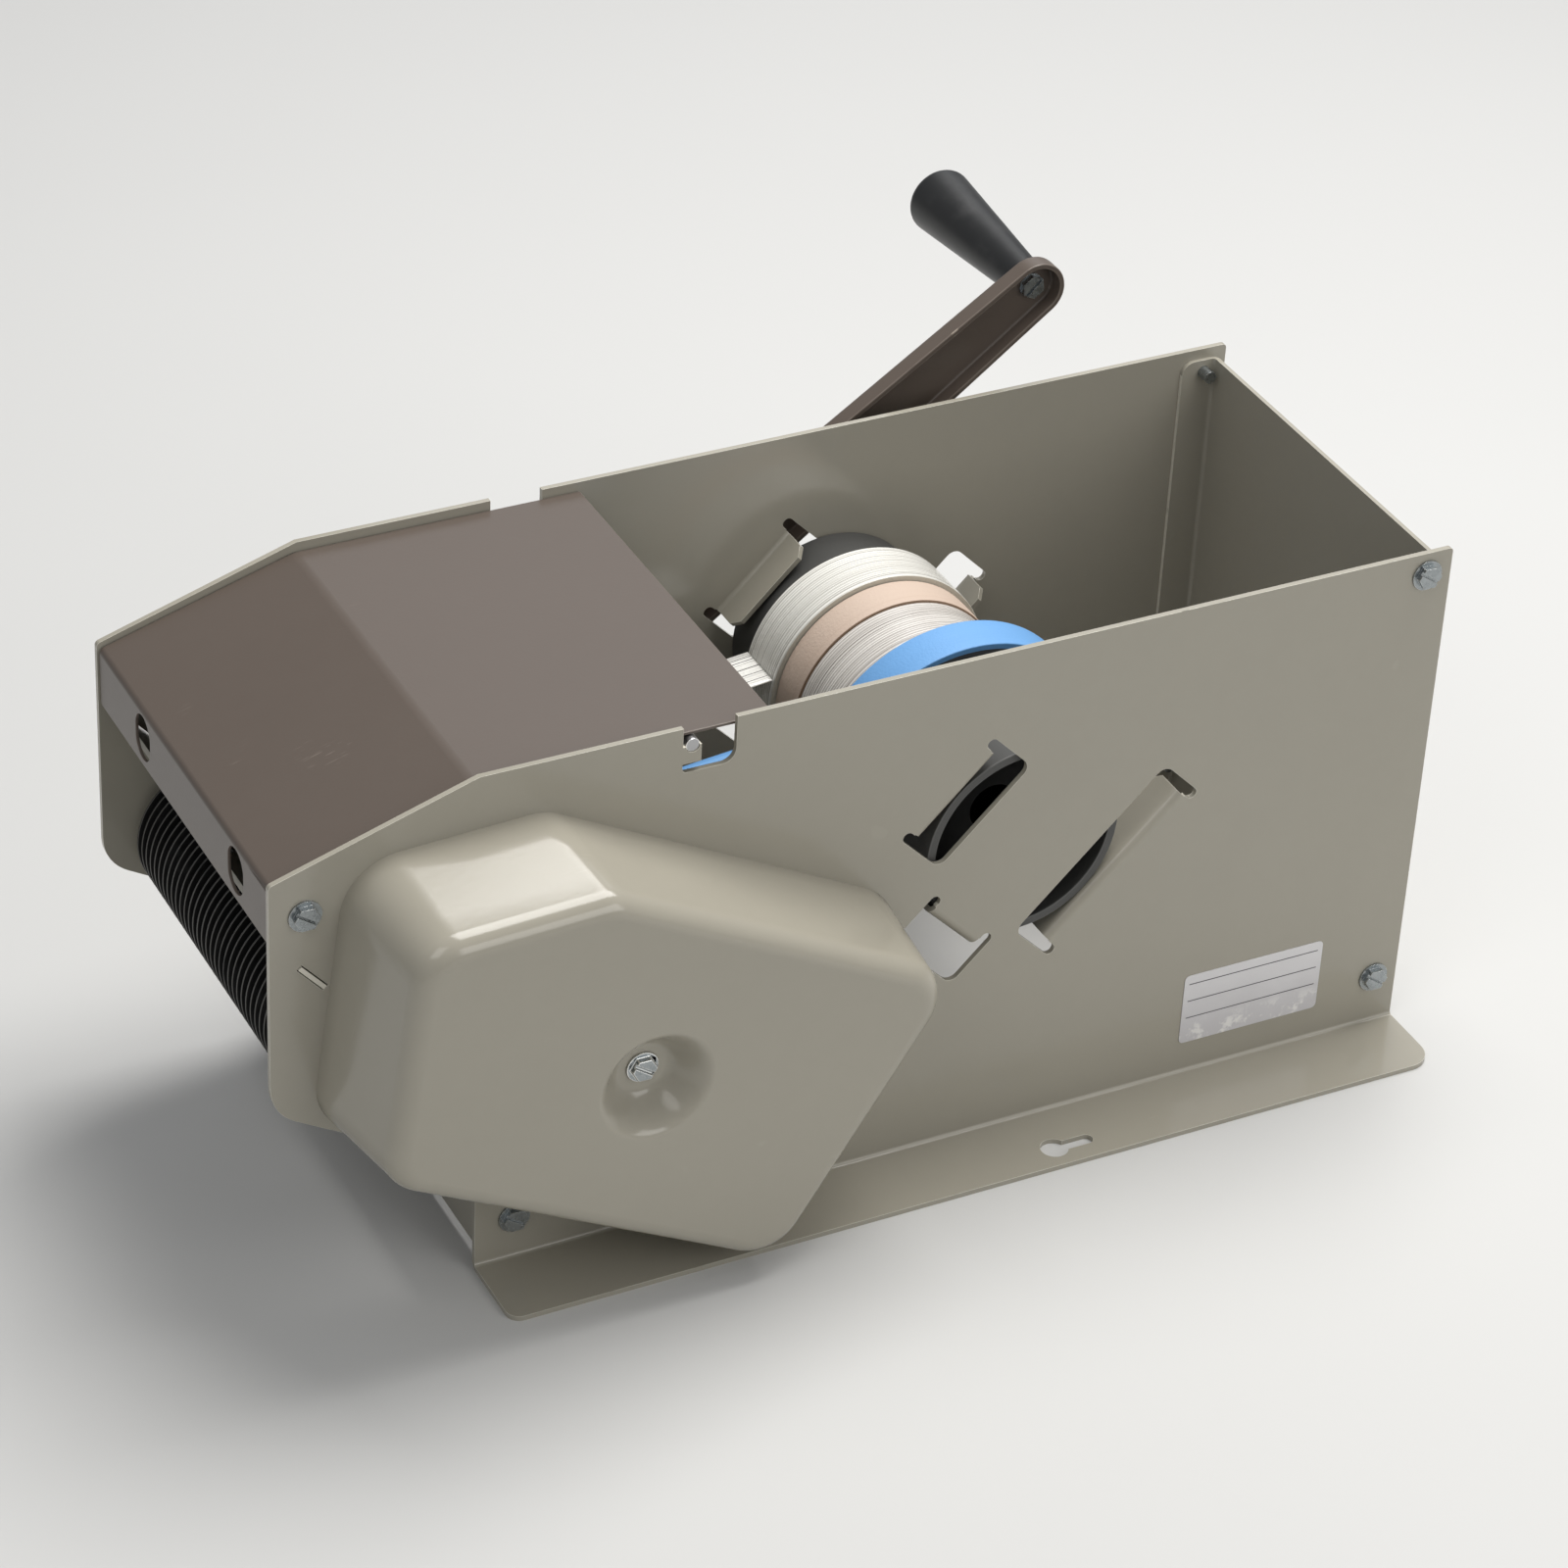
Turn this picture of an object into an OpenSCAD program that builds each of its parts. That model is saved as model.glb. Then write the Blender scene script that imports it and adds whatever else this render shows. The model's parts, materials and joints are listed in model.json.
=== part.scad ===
// Bench-top tape dispenser: a bent-sheet frame with a V cradle for tape rolls on a mandrel,
// a finned feed drum under a lift-up cover, and a lever that turns the drum by a belt.
// x runs from the drum end to the rear, y across the frame, z up from the underside of the feet.

/* [Frame] */
// Length of the side panels
frame_len = 443; // [400:1:540]
// Width over the outside of the side panels
frame_w = 157.5; // [140:0.5:200]
// Height of the side panels above the bench
frame_h = 204; // [195:1:240]
// Thickness of the side panel sheet
sheet_t = 2; // [1.5:0.1:2.5]
// Thickness of the rear panel, brace and guide sheet
inner_t = 1.6; // [1.2:0.1:2]
// Distance that the sloped top front of a panel drops
nose_drop = 23.5; // [15:0.5:30]
// Distance from the front edge to the fold in the top edge
fold_x = 73; // [60:1:85]
// Distance from the front edge to the front of the feet
base_x = 73.7; // [65:0.1:85]
// Slope of the underside of the nose in degrees
nose_slope = 30.5; // [25:0.5:34]
// Height at which the nose underside would meet the front edge
nose_z = 89.5; // [86:0.5:92]
// Width of each foot flange outside its panel
foot_w = 31; // [26:1:40]
// Height of the rear panel's drop below the top edge
rear_drop = 4; // [2:0.5:10]

/* [Cradle and mandrel] */
// Distance from the front edge to the mandrel axis
hub_x = 280; // [275:1:300]
// Height of the mandrel axis
hub_z = 122; // [118:1:128]
// Outer radius of the mandrel
hub_r = 37.7; // [31:0.1:46]
// Wall of the mandrel tube
hub_wall = 3.4; // [2.5:0.1:4]
// Gap between the mandrel's ends and the panels
hub_gap = 0.8; // [0.5:0.1:2]
// Reach of the cradle tabs inside the panels
tab_reach = 15; // [12:0.5:18]
// Wall of a roll core
core_wall = 1.2; // [1:0.1:2]
// Gap between a roll core and the mandrel
core_gap = 0.4; // [0.3:0.05:0.8]
// Wall of the blue roll's thick core
blue_wall = 13; // [5:0.1:14]
// Thickness of the tape wound on the blue roll
blue_wind = 2.3; // [1:0.1:3.4]
// Width of the blue roll
blue_w = 16.5; // [10:0.5:20]
// Thickness of the tape wound on the clear filament roll
clear_wind = 1.3; // [1:0.1:16]
// Width of the clear filament roll
clear_w = 34.4; // [20:0.2:40]
// Thickness of the tape wound on the tan roll
tan_wind = 2.1; // [1:0.1:16]
// Width of the tan roll
tan_w = 14; // [10:0.5:20]
// Thickness of the tape wound on the white filament roll
white_wind = 3.9; // [1:0.1:16]
// Width of the white filament roll
white_w = 21; // [15:0.5:30]
// Distance from the near panel to the blue roll
roll_start = 46.5; // [40:0.5:50]
// Gap between neighbouring rolls
roll_gap = 0.4; // [0.3:0.1:2]
// Thickness of the tape strips
tape_t = 0.3; // [0.2:0.05:0.5]

/* [Feed drum] */
// Distance from the front edge to the drum axis
drum_x = 39; // [37:0.5:42]
// Height of the drum axis
drum_z = 98.5; // [97:0.5:101]
// Outer radius of the drum's fins
drum_r = 28.6; // [25:0.1:35]
// Number of fins on the drum
fin_count = 36; // [12:1:38]
// Distance from fin to fin
fin_pitch = 4.05; // [3:0.05:4.15]
// Thickness of a fin
fin_t = 0.8; // [0.6:0.1:1.2]
// Radius of the drum's core
core_r = 20.5; // [14:0.5:24]
// Radius of the drum shaft
drum_shaft_r = 5; // [4:0.5:6]
// Radius of the hold-down roller above the tapes
roller_r = 8; // [6:0.5:9]

/* [Cover] */
// Thickness of the lift-up cover sheet
lid_t = 1.2; // [1:0.1:2]
// Distance from the front edge to the rear edge of the cover
lid_end = 179.5; // [172:0.5:190]
// Drop of the cover's top below the panels' top edge
lid_drop = 3.4; // [3:0.1:5]
// Gap between the cover and each side panel
lid_gap = 0.6; // [0.4:0.1:1.5]
// Height of the cover's front lip
lip_h = 22; // [16:0.5:24]
// Height of the cover's side flanges
lid_flange = 13; // [11:0.5:16]
// Angle that the cover opens through
lid_open = 95; // [60:5:100]

/* [Drive] */
// Distance from the front edge to the lever axis
lever_x = 152; // [148:1:156]
// Height of the lever axis
lever_z = 82; // [80:1:84]
// Length of the lever from its axis to the knob
lever_len = 264; // [220:1:280]
// Angle of the lever above level at rest, rearwards
lever_rest = 35.8; // [30:0.1:45]
// Angle that the lever swings through
lever_swing = 100; // [60:5:110]
// Radius of the lever's round end at the knob
lever_tip_r = 11; // [9:0.5:13]
// Radius of the lever's round end at the shaft
lever_hub_r = 19; // [16:0.5:22]
// Depth of the lever's channel
lever_depth = 8; // [6:0.5:10]
// Gap between the far panel and the lever's lips
lever_gap = 8; // [6:0.5:14]
// Radius of the lever shaft
lever_shaft_r = 6; // [5:0.5:7]
// Length of the knob
knob_len = 70; // [60:1:90]
// Radius of the knob at the lever
knob_r1 = 7.3; // [6.5:0.1:9]
// Radius of the knob at its outer end
knob_r2 = 12.6; // [10:0.1:15]
// Inside radius of the belt on the lever pulley
big_belt_r = 22; // [20:0.5:24]
// Inside radius of the belt on the drum pulley
small_belt_r = 11; // [9:0.5:11.5]
// Width of the belt
belt_w = 9; // [6:0.5:10]
// Thickness of the belt
belt_t = 2.5; // [1.5:0.1:2.5]
// Depth of the belt cover
case_depth = 45; // [40:0.5:50]
// Thickness of the belt cover's sheet
case_t = 1.5; // [1:0.1:2]
// Corner radius of the belt cover at the panel
case_r = 22; // [18:1:26]
// Distance from the front edge to the belt cover's screw
stud_x = 118.4; // [116:0.2:121]
// Height of the belt cover's screw
stud_z = 97.5; // [95:0.5:100]
// Depth of the round dimple in the belt cover
dimple_depth = 12; // [8:0.5:14]

/* [Fits and fixings] */
// Radial clearance of a shaft in its bush
fit = 0.05; // [0.02:0.01:0.1]
// Gap between pieces that pass each other
clear = 0.3; // [0.3:0.05:0.6]
// Circumradius of a hex screw head
head_r = 4.6; // [4:0.1:5.5]
// Height of a hex screw head
head_h = 3; // [2:0.1:4]
// Radius of the frame screws
screw_r = 2.4; // [2:0.1:3]
// Distance from the front edge to the feet's keyholes
key_x = 289; // [150:1:320]
// Radius of a keyhole's round end
key_r = 5.1; // [4:0.1:6]
// Width of the label
label_w = 58; // [40:1:70]
// Height of the label
label_h = 30; // [20:1:36]

/* [Hidden] */
round_fn = 96;
fine_fn = 48;
arc_steps = 40;

half_w = frame_w / 2;
half_in = half_w - sheet_t;
bend_in = 1.5;
bend_out = bend_in + sheet_t;
nose_h = frame_h - nose_drop;
nose_r = 18;
side_slope = atan2(nose_drop, fold_x);

// Screws: the cover's pivots, the brace's, and the rear panel's upper and lower ones
pivot_x = 12.5;
pivot_z = nose_h - 14;
brace_at = [base_x + 14.5, 19];
rear_in = 4;
rear_x = frame_len - rear_in;
rear_flange = 15;
flange_r = 5;
rear_low = [frame_len - 10, 21.8];
rear_high = [frame_len - 10, frame_h - 8.8];
rear_top = frame_h - rear_drop;
screw_len = 9;
washer_r = head_r + 1.2;
hole_gap = 0.2;

// Cover
lid_half = half_in - lid_gap;
lid_top = frame_h - lid_drop;
lid_fold_z = lid_top;
lip_top = nose_h - lid_drop + 1.6;
lip_x = 0.6;
rod_r = 2.5;
rod_x = 149.3;
rod_z = lid_top - lid_t - rod_r - clear;

// Notch in each panel's top edge, with a finger that carries the rest rod
notch_x0 = 145.6;
notch_x1 = 165.2;
notch_z = frame_h - 17.5;
finger_x = 152.4;
finger_z = notch_z + 3.4;

// Guide plate between the panels, at an angle towards the drum
guide_at = [15, 141];
guide_turn = -48.5;
guide_gap = 1.5;
guide_back = 9;
guide_slot = 13.9;
guide_dir = [cos(guide_turn), sin(guide_turn)];
guide_off = [drum_x, drum_z] - guide_at;
guide_along = guide_off * guide_dir;
guide_across = guide_off[0] * guide_dir[1] - guide_off[1] * guide_dir[0];
guide_tip = guide_along - sqrt(pow(drum_r + guide_gap + inner_t / 2, 2) - pow(guide_across, 2));

// Cradle tabs: [direction from the axis, distance, start, end, opening, opening is outside]
tab_rise = 0.3;
tabs = [[135, hub_r + 1.5, -18.3, 20.6, 15.2, false],
        [-45, hub_r + tab_rise, -23, 47, 13.7, false],
        [225, hub_r + tab_rise + sheet_t, -12.3, 14, 15.5, true]];

// Mandrel and rolls
hub_half = half_in - hub_gap;
cap_t = 2.5;
core_in = hub_r + core_gap;
core_out = core_in + core_wall;
blue_core_out = core_in + blue_wall;
blue_r = blue_core_out + blue_wind;
clear_r = core_out + clear_wind;
tan_r = core_out + tan_wind;
white_r = core_out + white_wind;
blue_y = -half_w + roll_start;
clear_y = blue_y + blue_w + roll_gap;
tan_y = clear_y + clear_w + roll_gap;
white_y = tan_y + tan_w + roll_gap;

// Drum
fin_span = (fin_count - 1) * fin_pitch;
core_half = fin_span / 2 + fin_t / 2 + 0.6;
bush_r = drum_shaft_r + 2;
lever_bush_r = lever_shaft_r + 2.5;
flange_t = 1.5;
roller_x = 62;
roller_shaft_r = 3;
strip_top = drum_z + drum_r + clear + tape_t;

// Drive planes, as distances outside the near panel
stop_t = 3;
stop_out = 3;
belt_mid = 17;
pulley_lip = 1.2;
pulley_w = belt_w + 0.8 + 2 * pulley_lip;
clutch_r = lever_shaft_r + 5;
hub_out = belt_mid + pulley_w / 2;
stud_r = 4;
stud_reach = case_depth - dimple_depth - case_t;
stud_arm = [stud_x - lever_x, stud_z - lever_z];
stud_dist = norm(stud_arm);
stud_turn = atan2(stud_arm[1], stud_arm[0]);
lever_lip_y = half_w + lever_gap;
lever_back_y = lever_lip_y + lever_depth;
lever_t = 2;
knob_y = lever_back_y + 0.4;
knob_bore = 3;

// Belt cover: sides as [direction of the side's outward normal, distance from the screw
// at the panel, distance at the rim]
case_turn = 28;
case_sides = [[172.9, 101.4, 93.9], [92.6, 88.3, 80.9], [90 - case_turn, 67, 63.5],
              [-32.6, 94.8, 91.3], [270 - case_turn, 62, 58.5]];
case_edge = 8;
rim_r = case_r - 3.5;

function unit(v) = v / norm(v);
function cross2(a, b) = a[0] * b[1] - a[1] * b[0];
function turn_of(a, b) = atan2(cross2(a, b), a * b);
function ray(a) = [cos(a), sin(a)];

// Points of one rounded corner at c, between its neighbours p and n
function corner(p, c, n, r, steps) =
    let (u = unit(p - c), v = unit(n - c), half = acos(u * v) / 2,
         reach = r / tan(half), mid = c + unit(u + v) * r / sin(half),
         a = c + u * reach - mid, b = c + v * reach - mid,
         start = atan2(a[1], a[0]), sweep = turn_of(a, b))
    r <= 0 ? [c] : [for (i = [0 : steps]) mid + r * ray(start + sweep * i / steps)];

// Outline with its corners rounded by the radii in rs
function rounded(ps, rs, steps = 8) =
    let (k = len(ps))
    [for (i = [0 : k - 1])
        each corner(ps[(i + k - 1) % k], ps[i], ps[(i + 1) % k], rs[i], steps)];

// Meeting point of two straight sides, each a normal direction and a distance
function meet(s, t) =
    let (d = sin(t[0] - s[0]))
    [(s[1] * sin(t[0]) - t[1] * sin(s[0])) / d, (t[1] * cos(s[0]) - s[1] * cos(t[0])) / d];

// Stands a flat panel up with its outer face on the near side
module stand() translate([0, -half_w, 0]) rotate([90, 0, 0]) mirror([0, 0, 1]) children();
// Draws an outline in x and z, and extrudes it across from y0 to y1
module across(y0, y1) translate([0, y0, 0]) rotate([90, 0, 0]) mirror([0, 0, 1])
    linear_extrude(y1 - y0) children();
// Turns a cylinder so that it runs across, from y0 to y1, at x and z
module bar(x, z, y0, y1, r, r2 = -1, fn = fine_fn) translate([x, y0, z]) rotate([-90, 0, 0])
    cylinder(h = y1 - y0, r1 = r, r2 = r2 < 0 ? r : r2, $fn = fn);
module both() {
    children();
    mirror([0, 1, 0]) children();
}
module box_at(x0, x1, y0, y1) translate([x0, y0]) square([x1 - x0, y1 - y0]);

// Outline with round ends r1 at the origin and r2 further along x, and straight sides between
module taper(r1, r2, long) {
    lean = acos((r1 - r2) / long);
    polygon([for (i = [0 : arc_steps]) r1 * ray(lean + i * (360 - 2 * lean) / arc_steps),
             for (i = [0 : arc_steps]) [long, 0] + r2 * ray(lean * (2 * i / arc_steps - 1))]);
}

// Slotted hex screw, outside the near panel, pointing inwards
module hex_screw(at, r, length) difference() {
    union() {
        bar(at[0], at[1], -half_w - head_h, -half_w - 0.6, head_r, fn = 6);
        bar(at[0], at[1], -half_w - 0.8, -half_w, washer_r);
        bar(at[0], at[1], -half_w, -half_w + length, r);
    }
    translate([at[0], -half_w - head_h, at[1]]) rotate([0, 35, 0])
        cube([3 * head_r, 2.4, 1.2], center = true);
}

// Tab bent inwards from a slot: the face that the slot starts at is on x = 0 here
module tab_cut(a, b, opening) {
    relief = 4.2;
    back = bend_out + 3.5;
    polygon(rounded([[-bend_out, a - relief], [opening, a - relief], [opening, b + relief],
                     [-bend_out, b + relief]], [0, 4, 4, 0]));
    for (end = [a - relief, b])
        polygon(rounded([[-back, end], [0, end], [0, end + relief], [-back, end + relief]],
                        [2, 0, 0, 2], 6));
}
module tab_plate(a, b) translate([0, b, 0]) rotate([90, 0, 0]) {
    long = b - a;
    difference() {
        translate([-sheet_t, bend_out, 0]) cube([sheet_t, tab_reach - bend_out, long]);
        for (end = [0, 1]) translate([-2 * sheet_t, tab_reach, end * long]) rotate([0, 90, 0])
            rotate(45) cube([5, 5, 8 * sheet_t], center = true);
    }
    intersection() {
        translate([-bend_out, 0, 0]) cube([bend_out, bend_out, long]);
        translate([-bend_out, bend_out, 0]) difference() {
            cylinder(h = long, r = bend_out, $fn = fine_fn);
            translate([0, 0, -1]) cylinder(h = long + 2, r = bend_in, $fn = fine_fn);
        }
    }
}
module at_tab(t) translate([hub_x, hub_z]) rotate(t[0]) translate([t[1], 0])
    mirror([t[5] ? 0 : 1, 0, 0]) children();

module panel_outline() difference() {
    polygon(rounded([[base_x, bend_out], [frame_len, bend_out], [frame_len, frame_h],
                     [fold_x, frame_h], [0, nose_h], [0, nose_z],
                     [base_x, nose_z - base_x * tan(nose_slope)]],
                    [0, 0, 1.5, 0, 2, nose_r, 0]));
    difference() {
        polygon(rounded([[notch_x0, frame_h + 5], [notch_x0, notch_z], [notch_x1, notch_z],
                         [notch_x1, frame_h + 5]], [0, 1.6, 5, 0]));
        translate([notch_x0 - 2, finger_z]) square([finger_x - notch_x0 + 2, rod_z - finger_z]);
    }
    translate([rod_x, rod_z]) circle(r = rod_r + fit, $fn = fine_fn);
    translate(guide_at) rotate(guide_turn)
        square([guide_slot, inner_t + 0.9], center = true);
    for (t = tabs) at_tab(t) tab_cut(t[2], t[3], t[4]);
}

module side_panel() {
    stand() {
        difference() {
            linear_extrude(sheet_t) panel_outline();
            translate([0, 0, -1]) {
                for (at = [brace_at, rear_low, rear_high]) translate(at)
                    cylinder(h = sheet_t + 2, r = screw_r + hole_gap, $fn = fine_fn);
                translate([pivot_x, pivot_z]) cylinder(h = sheet_t + 2, r = 3 + fit, $fn = fine_fn);
                translate([drum_x, drum_z]) cylinder(h = sheet_t + 2, r = bush_r, $fn = fine_fn);
                translate([lever_x, lever_z])
                    cylinder(h = sheet_t + 2, r = lever_bush_r, $fn = fine_fn);
                translate([roller_x, roller_z()])
                    cylinder(h = sheet_t + 2, r = roller_shaft_r, $fn = fine_fn);
                children();
            }
        }
        for (t = tabs) at_tab(t) tab_plate(t[2] + 0.4, t[3] - 0.4);
    }
    // Bend between the panel and its foot
    translate([base_x, -half_w - bend_in, bend_out]) rotate([90, 0, 90]) intersection() {
        translate([0, -bend_out, 0]) cube([bend_out, bend_out, frame_len - base_x]);
        difference() {
            cylinder(h = frame_len - base_x, r = bend_out, $fn = fine_fn);
            translate([0, 0, -1]) cylinder(h = frame_len, r = bend_in, $fn = fine_fn);
        }
    }
    difference() {
        linear_extrude(sheet_t) polygon(rounded(
            [[base_x, -half_w - bend_in], [base_x, -half_w - foot_w],
             [frame_len, -half_w - foot_w], [frame_len, -half_w - bend_in]], [0, 5, 9, 0]));
        translate([key_x, -half_w - foot_w + 9.5, -1]) {
            cylinder(h = sheet_t + 2, r = key_r, $fn = fine_fn);
            translate([0, -2.5, 0]) cube([13, 5, sheet_t + 2]);
            translate([13, 0, 0]) cylinder(h = sheet_t + 2, r = 2.5, $fn = fine_fn);
        }
    }
}
// Height of the hold-down roller's axis
function roller_z() = strip_top + 3.4 + roller_r;

module side_panel_near() color("#85806f") side_panel()
    translate([stud_x, stud_z]) cylinder(h = sheet_t + 2, r = 3, $fn = fine_fn);
module side_panel_far() color("#85806f") mirror([0, 1, 0]) side_panel();

// Sheet bent into a U: a plate at x, with flanges along the inside of the panels
module sheet_u(x, reach, z0, z1, ahead) {
    side = ahead ? -1 : 1;
    difference() {
        translate([0, 0, z0]) linear_extrude(z1 - z0) difference() {
            polygon(rounded([[x, -half_in], [x + side * reach, -half_in],
                             [x + side * reach, half_in], [x, half_in]], [3, 0, 0, 3]));
            polygon(rounded([[x + side * inner_t, inner_t - half_in],
                             [x + side * (reach + 1), inner_t - half_in],
                             [x + side * (reach + 1), half_in - inner_t],
                             [x + side * inner_t, half_in - inner_t]], [1.4, 0, 0, 1.4]));
        }
        children();
    }
}
module screw_hole(at) bar(at[0], at[1], -half_w - 1, half_w + 1, screw_r + 0.02);

module rear_panel() color("#85806f") sheet_u(rear_x, rear_flange, bend_out, rear_top, true) {
    screw_hole(rear_low);
    screw_hole(rear_high);
    // Rounds the upper front corners of the flanges
    across(-half_w, half_w) difference() {
        translate([rear_x - rear_flange - 1, rear_top - flange_r]) square(flange_r + 1);
        translate([rear_x - rear_flange + flange_r, rear_top - flange_r])
            circle(r = flange_r, $fn = fine_fn);
    }
}
module base_brace() color("#85806f")
    sheet_u(base_x + 4, 22, bend_out, 40, false) screw_hole(brace_at);

// Plate between the panels that keeps the tapes down on the drum
module in_guide() translate([guide_at[0], 0, guide_at[1]]) rotate([0, -guide_turn, 0]) children();
module guide_plate() color("#85806f") in_guide() difference() {
    union() {
        translate([-guide_back, -half_in + 0.3, -inner_t / 2])
            cube([guide_back + guide_tip, 2 * half_in - 0.6, inner_t]);
        translate([-guide_slot / 2 + 0.4, -half_w - 0.3, -inner_t / 2])
            cube([guide_slot - 0.8, frame_w + 0.6, inner_t]);
    }
    for (k = [-1 : 1]) translate([2, k * 50, -5]) cylinder(h = 10, r = 1.5, $fn = fine_fn);
}
blade_t = 0.8;
blade_w = 14;
tooth = 3;
module cutter_blade() color("#b9bcbe") in_guide()
    translate([0, 0, -inner_t / 2 - blade_t]) difference() {
        linear_extrude(blade_t) polygon([
            [guide_tip - blade_w, -core_half], [guide_tip - blade_w, core_half],
            for (k = [0 : round(2 * core_half / tooth) - 1]) each
                [[guide_tip - 2.5 - tooth / 2, core_half - k * tooth],
                 [guide_tip - 2.5, core_half - (k + 0.5) * tooth]],
            [guide_tip - 2.5 - tooth / 2, -core_half]]);
        for (k = [-1 : 1]) translate([2, k * 50, -1])
            cylinder(h = blade_t + 2, r = 1.5, $fn = fine_fn);
    }
module blade_screws() color("#c8cacc") in_guide() for (k = [-1 : 1]) translate([2, k * 50, 0]) {
    translate([0, 0, -inner_t / 2 - blade_t - 1.4]) cylinder(h = 1.4, r = 2.8, $fn = fine_fn);
    translate([0, 0, -inner_t / 2 - blade_t]) cylinder(h = inner_t + blade_t + 1, r = 1.5,
                                                       $fn = fine_fn);
}

module frame_screws() color("#c8cacc") both()
    for (at = [brace_at, rear_low, rear_high]) hex_screw(at, screw_r, screw_len);
module pivot_screws() color("#c8cacc") both() hex_screw([pivot_x, pivot_z], 3, 9);
module pivot_nuts() color("#c8cacc") both() difference() {
    bar(pivot_x, pivot_z, 5.4 - half_w, 8 - half_w, 5.2, fn = 6);
    bar(pivot_x, pivot_z, 5 - half_w, 9 - half_w, 3);
}

module rest_rod() color("#b4b6b8") bar(rod_x, rod_z, 0.4 - half_w, half_w - 0.4, rod_r);

module label_plate() color("#dcdcd6") stand() translate([0, 0, -0.35]) linear_extrude(0.35)
    translate([frame_len - 92, 15]) polygon(rounded(
        [[0, 0], [label_w, 0], [label_w, label_h], [0, label_h]], [2, 2, 2, 2], 4));

// Belt cover: discs at the panel and round rims further out, at each corner, hulled
function case_point(i, level, r) = let (j = (i + 1) % 5)
    meet([case_sides[i][0], case_sides[i][level] - r], [case_sides[j][0], case_sides[j][level] - r]);
module at_case(p) translate([stud_x + p[0], -half_w, stud_z + p[1]]) rotate([90, 0, 0]) children();
module case_solid(inset, depth) hull() for (i = [0 : 4]) {
    at_case(case_point(i, 1, case_r)) cylinder(h = 0.5, r = case_r - inset, $fn = 32);
    at_case(case_point(i, 2, rim_r)) rotate_extrude($fn = 32) polygon([
        [0, depth - case_edge],
        for (a = [0 : 15 : 90]) [rim_r - inset - case_edge * (1 - cos(a)),
                                 depth - case_edge * (1 - sin(a))]]);
}
// Dimple around the screw, as deep as given and wider towards the face
module dimple(floor_r, deep, from) translate([stud_x, -half_w - from, stud_z])
    rotate([90, 0, 0]) cylinder(h = deep, r1 = floor_r, r2 = floor_r + deep * 0.75, $fn = round_fn);
module belt_cover() color("#8b8675") difference() {
    case_solid(0, case_depth);
    difference() {
        translate([0, 0.01, 0]) case_solid(case_t, case_depth - case_t);
        dimple(8 + case_t, dimple_depth + case_t, case_depth - dimple_depth - case_t);
    }
    dimple(8, dimple_depth + 1, case_depth - dimple_depth);
    bar(stud_x, stud_z, -half_w - case_depth, -half_w - 10, screw_r + hole_gap);
}
module cover_stud() color("#9a9c9e") difference() {
    union() {
        bar(stud_x, stud_z, -half_w - stud_reach, -half_w, stud_r);
        bar(stud_x, stud_z, -half_w, 2 - half_in, 3);
        bar(stud_x, stud_z, -half_in, 3 - half_in, 5, fn = 6);
    }
    bar(stud_x, stud_z, -half_w - stud_reach - 1, -half_w - stud_reach + 12, screw_r);
}
module cover_screw() color("#c8cacc") translate([0, -stud_reach - case_t, 0])
    hex_screw([stud_x, stud_z], screw_r, 10);

// Flanged bush in each panel, flange on the inside
module bush_pair(x, z, shaft_r, out_r) both() difference() {
    union() {
        bar(x, z, -half_w, -half_in, out_r);
        bar(x, z, -half_in, flange_t - half_in, out_r + 3);
    }
    bar(x, z, -half_w - 1, flange_t - half_in + 1, shaft_r + fit);
}
module drum_bushes() color("#b08d4f") bush_pair(drum_x, drum_z, drum_shaft_r, bush_r);
module lever_bushes() color("#b08d4f") bush_pair(lever_x, lever_z, lever_shaft_r, lever_bush_r);

module roller_shaft() color("#b4b6b8")
    bar(roller_x, roller_z(), -half_w - 2.5, half_w + 2.5, roller_shaft_r);
module ring(x, z, y, r, thick = 1) difference() {
    bar(x, z, y, y + thick, r + 2.2);
    bar(x, z, y - 1, y + thick + 1, r);
}
module roller_rings() color("#4b4d50") both()
    ring(roller_x, roller_z(), -half_w - 1.2, roller_shaft_r);
module hold_down_roller() color("#2b2b2b") difference() {
    bar(roller_x, roller_z(), -core_half, core_half, roller_r);
    bar(roller_x, roller_z(), -core_half - 1, core_half + 1, roller_shaft_r + fit);
}

// Closed loop around the two pulleys, in x and z, grown by extra
module belt_loop(extra) {
    run = [drum_x - lever_x, drum_z - lever_z];
    translate([lever_x, lever_z]) rotate(atan2(run[1], run[0]))
        taper(big_belt_r + extra, small_belt_r + extra, norm(run));
}
module drive_belt() color("#1c1c1c")
    across(-half_w - belt_mid - belt_w / 2, -half_w - belt_mid + belt_w / 2) difference() {
        belt_loop(belt_t);
        belt_loop(0);
    }
module pulley(x, z, tread, bore) translate([0, -half_w - belt_mid, 0]) difference() {
    union() {
        bar(x, z, -pulley_w / 2, pulley_w / 2, tread, fn = round_fn);
        for (y = [-pulley_w / 2, pulley_w / 2 - pulley_lip])
            bar(x, z, y, y + pulley_lip, tread + belt_t + 0.6, fn = round_fn);
    }
    bar(x, z, -pulley_w, pulley_w, bore);
}
module lever_pulley() color("#a9abad") pulley(lever_x, lever_z, big_belt_r - clear, clutch_r);
module drum_pulley() color("#a9abad") pulley(drum_x, drum_z, small_belt_r - clear, drum_shaft_r);
module one_way_clutch() color("#77797c") difference() {
    bar(lever_x, lever_z, -half_w - belt_mid - pulley_w / 2, -half_w - belt_mid + pulley_w / 2,
        clutch_r);
    bar(lever_x, lever_z, -half_w - 40, -half_w, lever_shaft_r);
}

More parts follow.
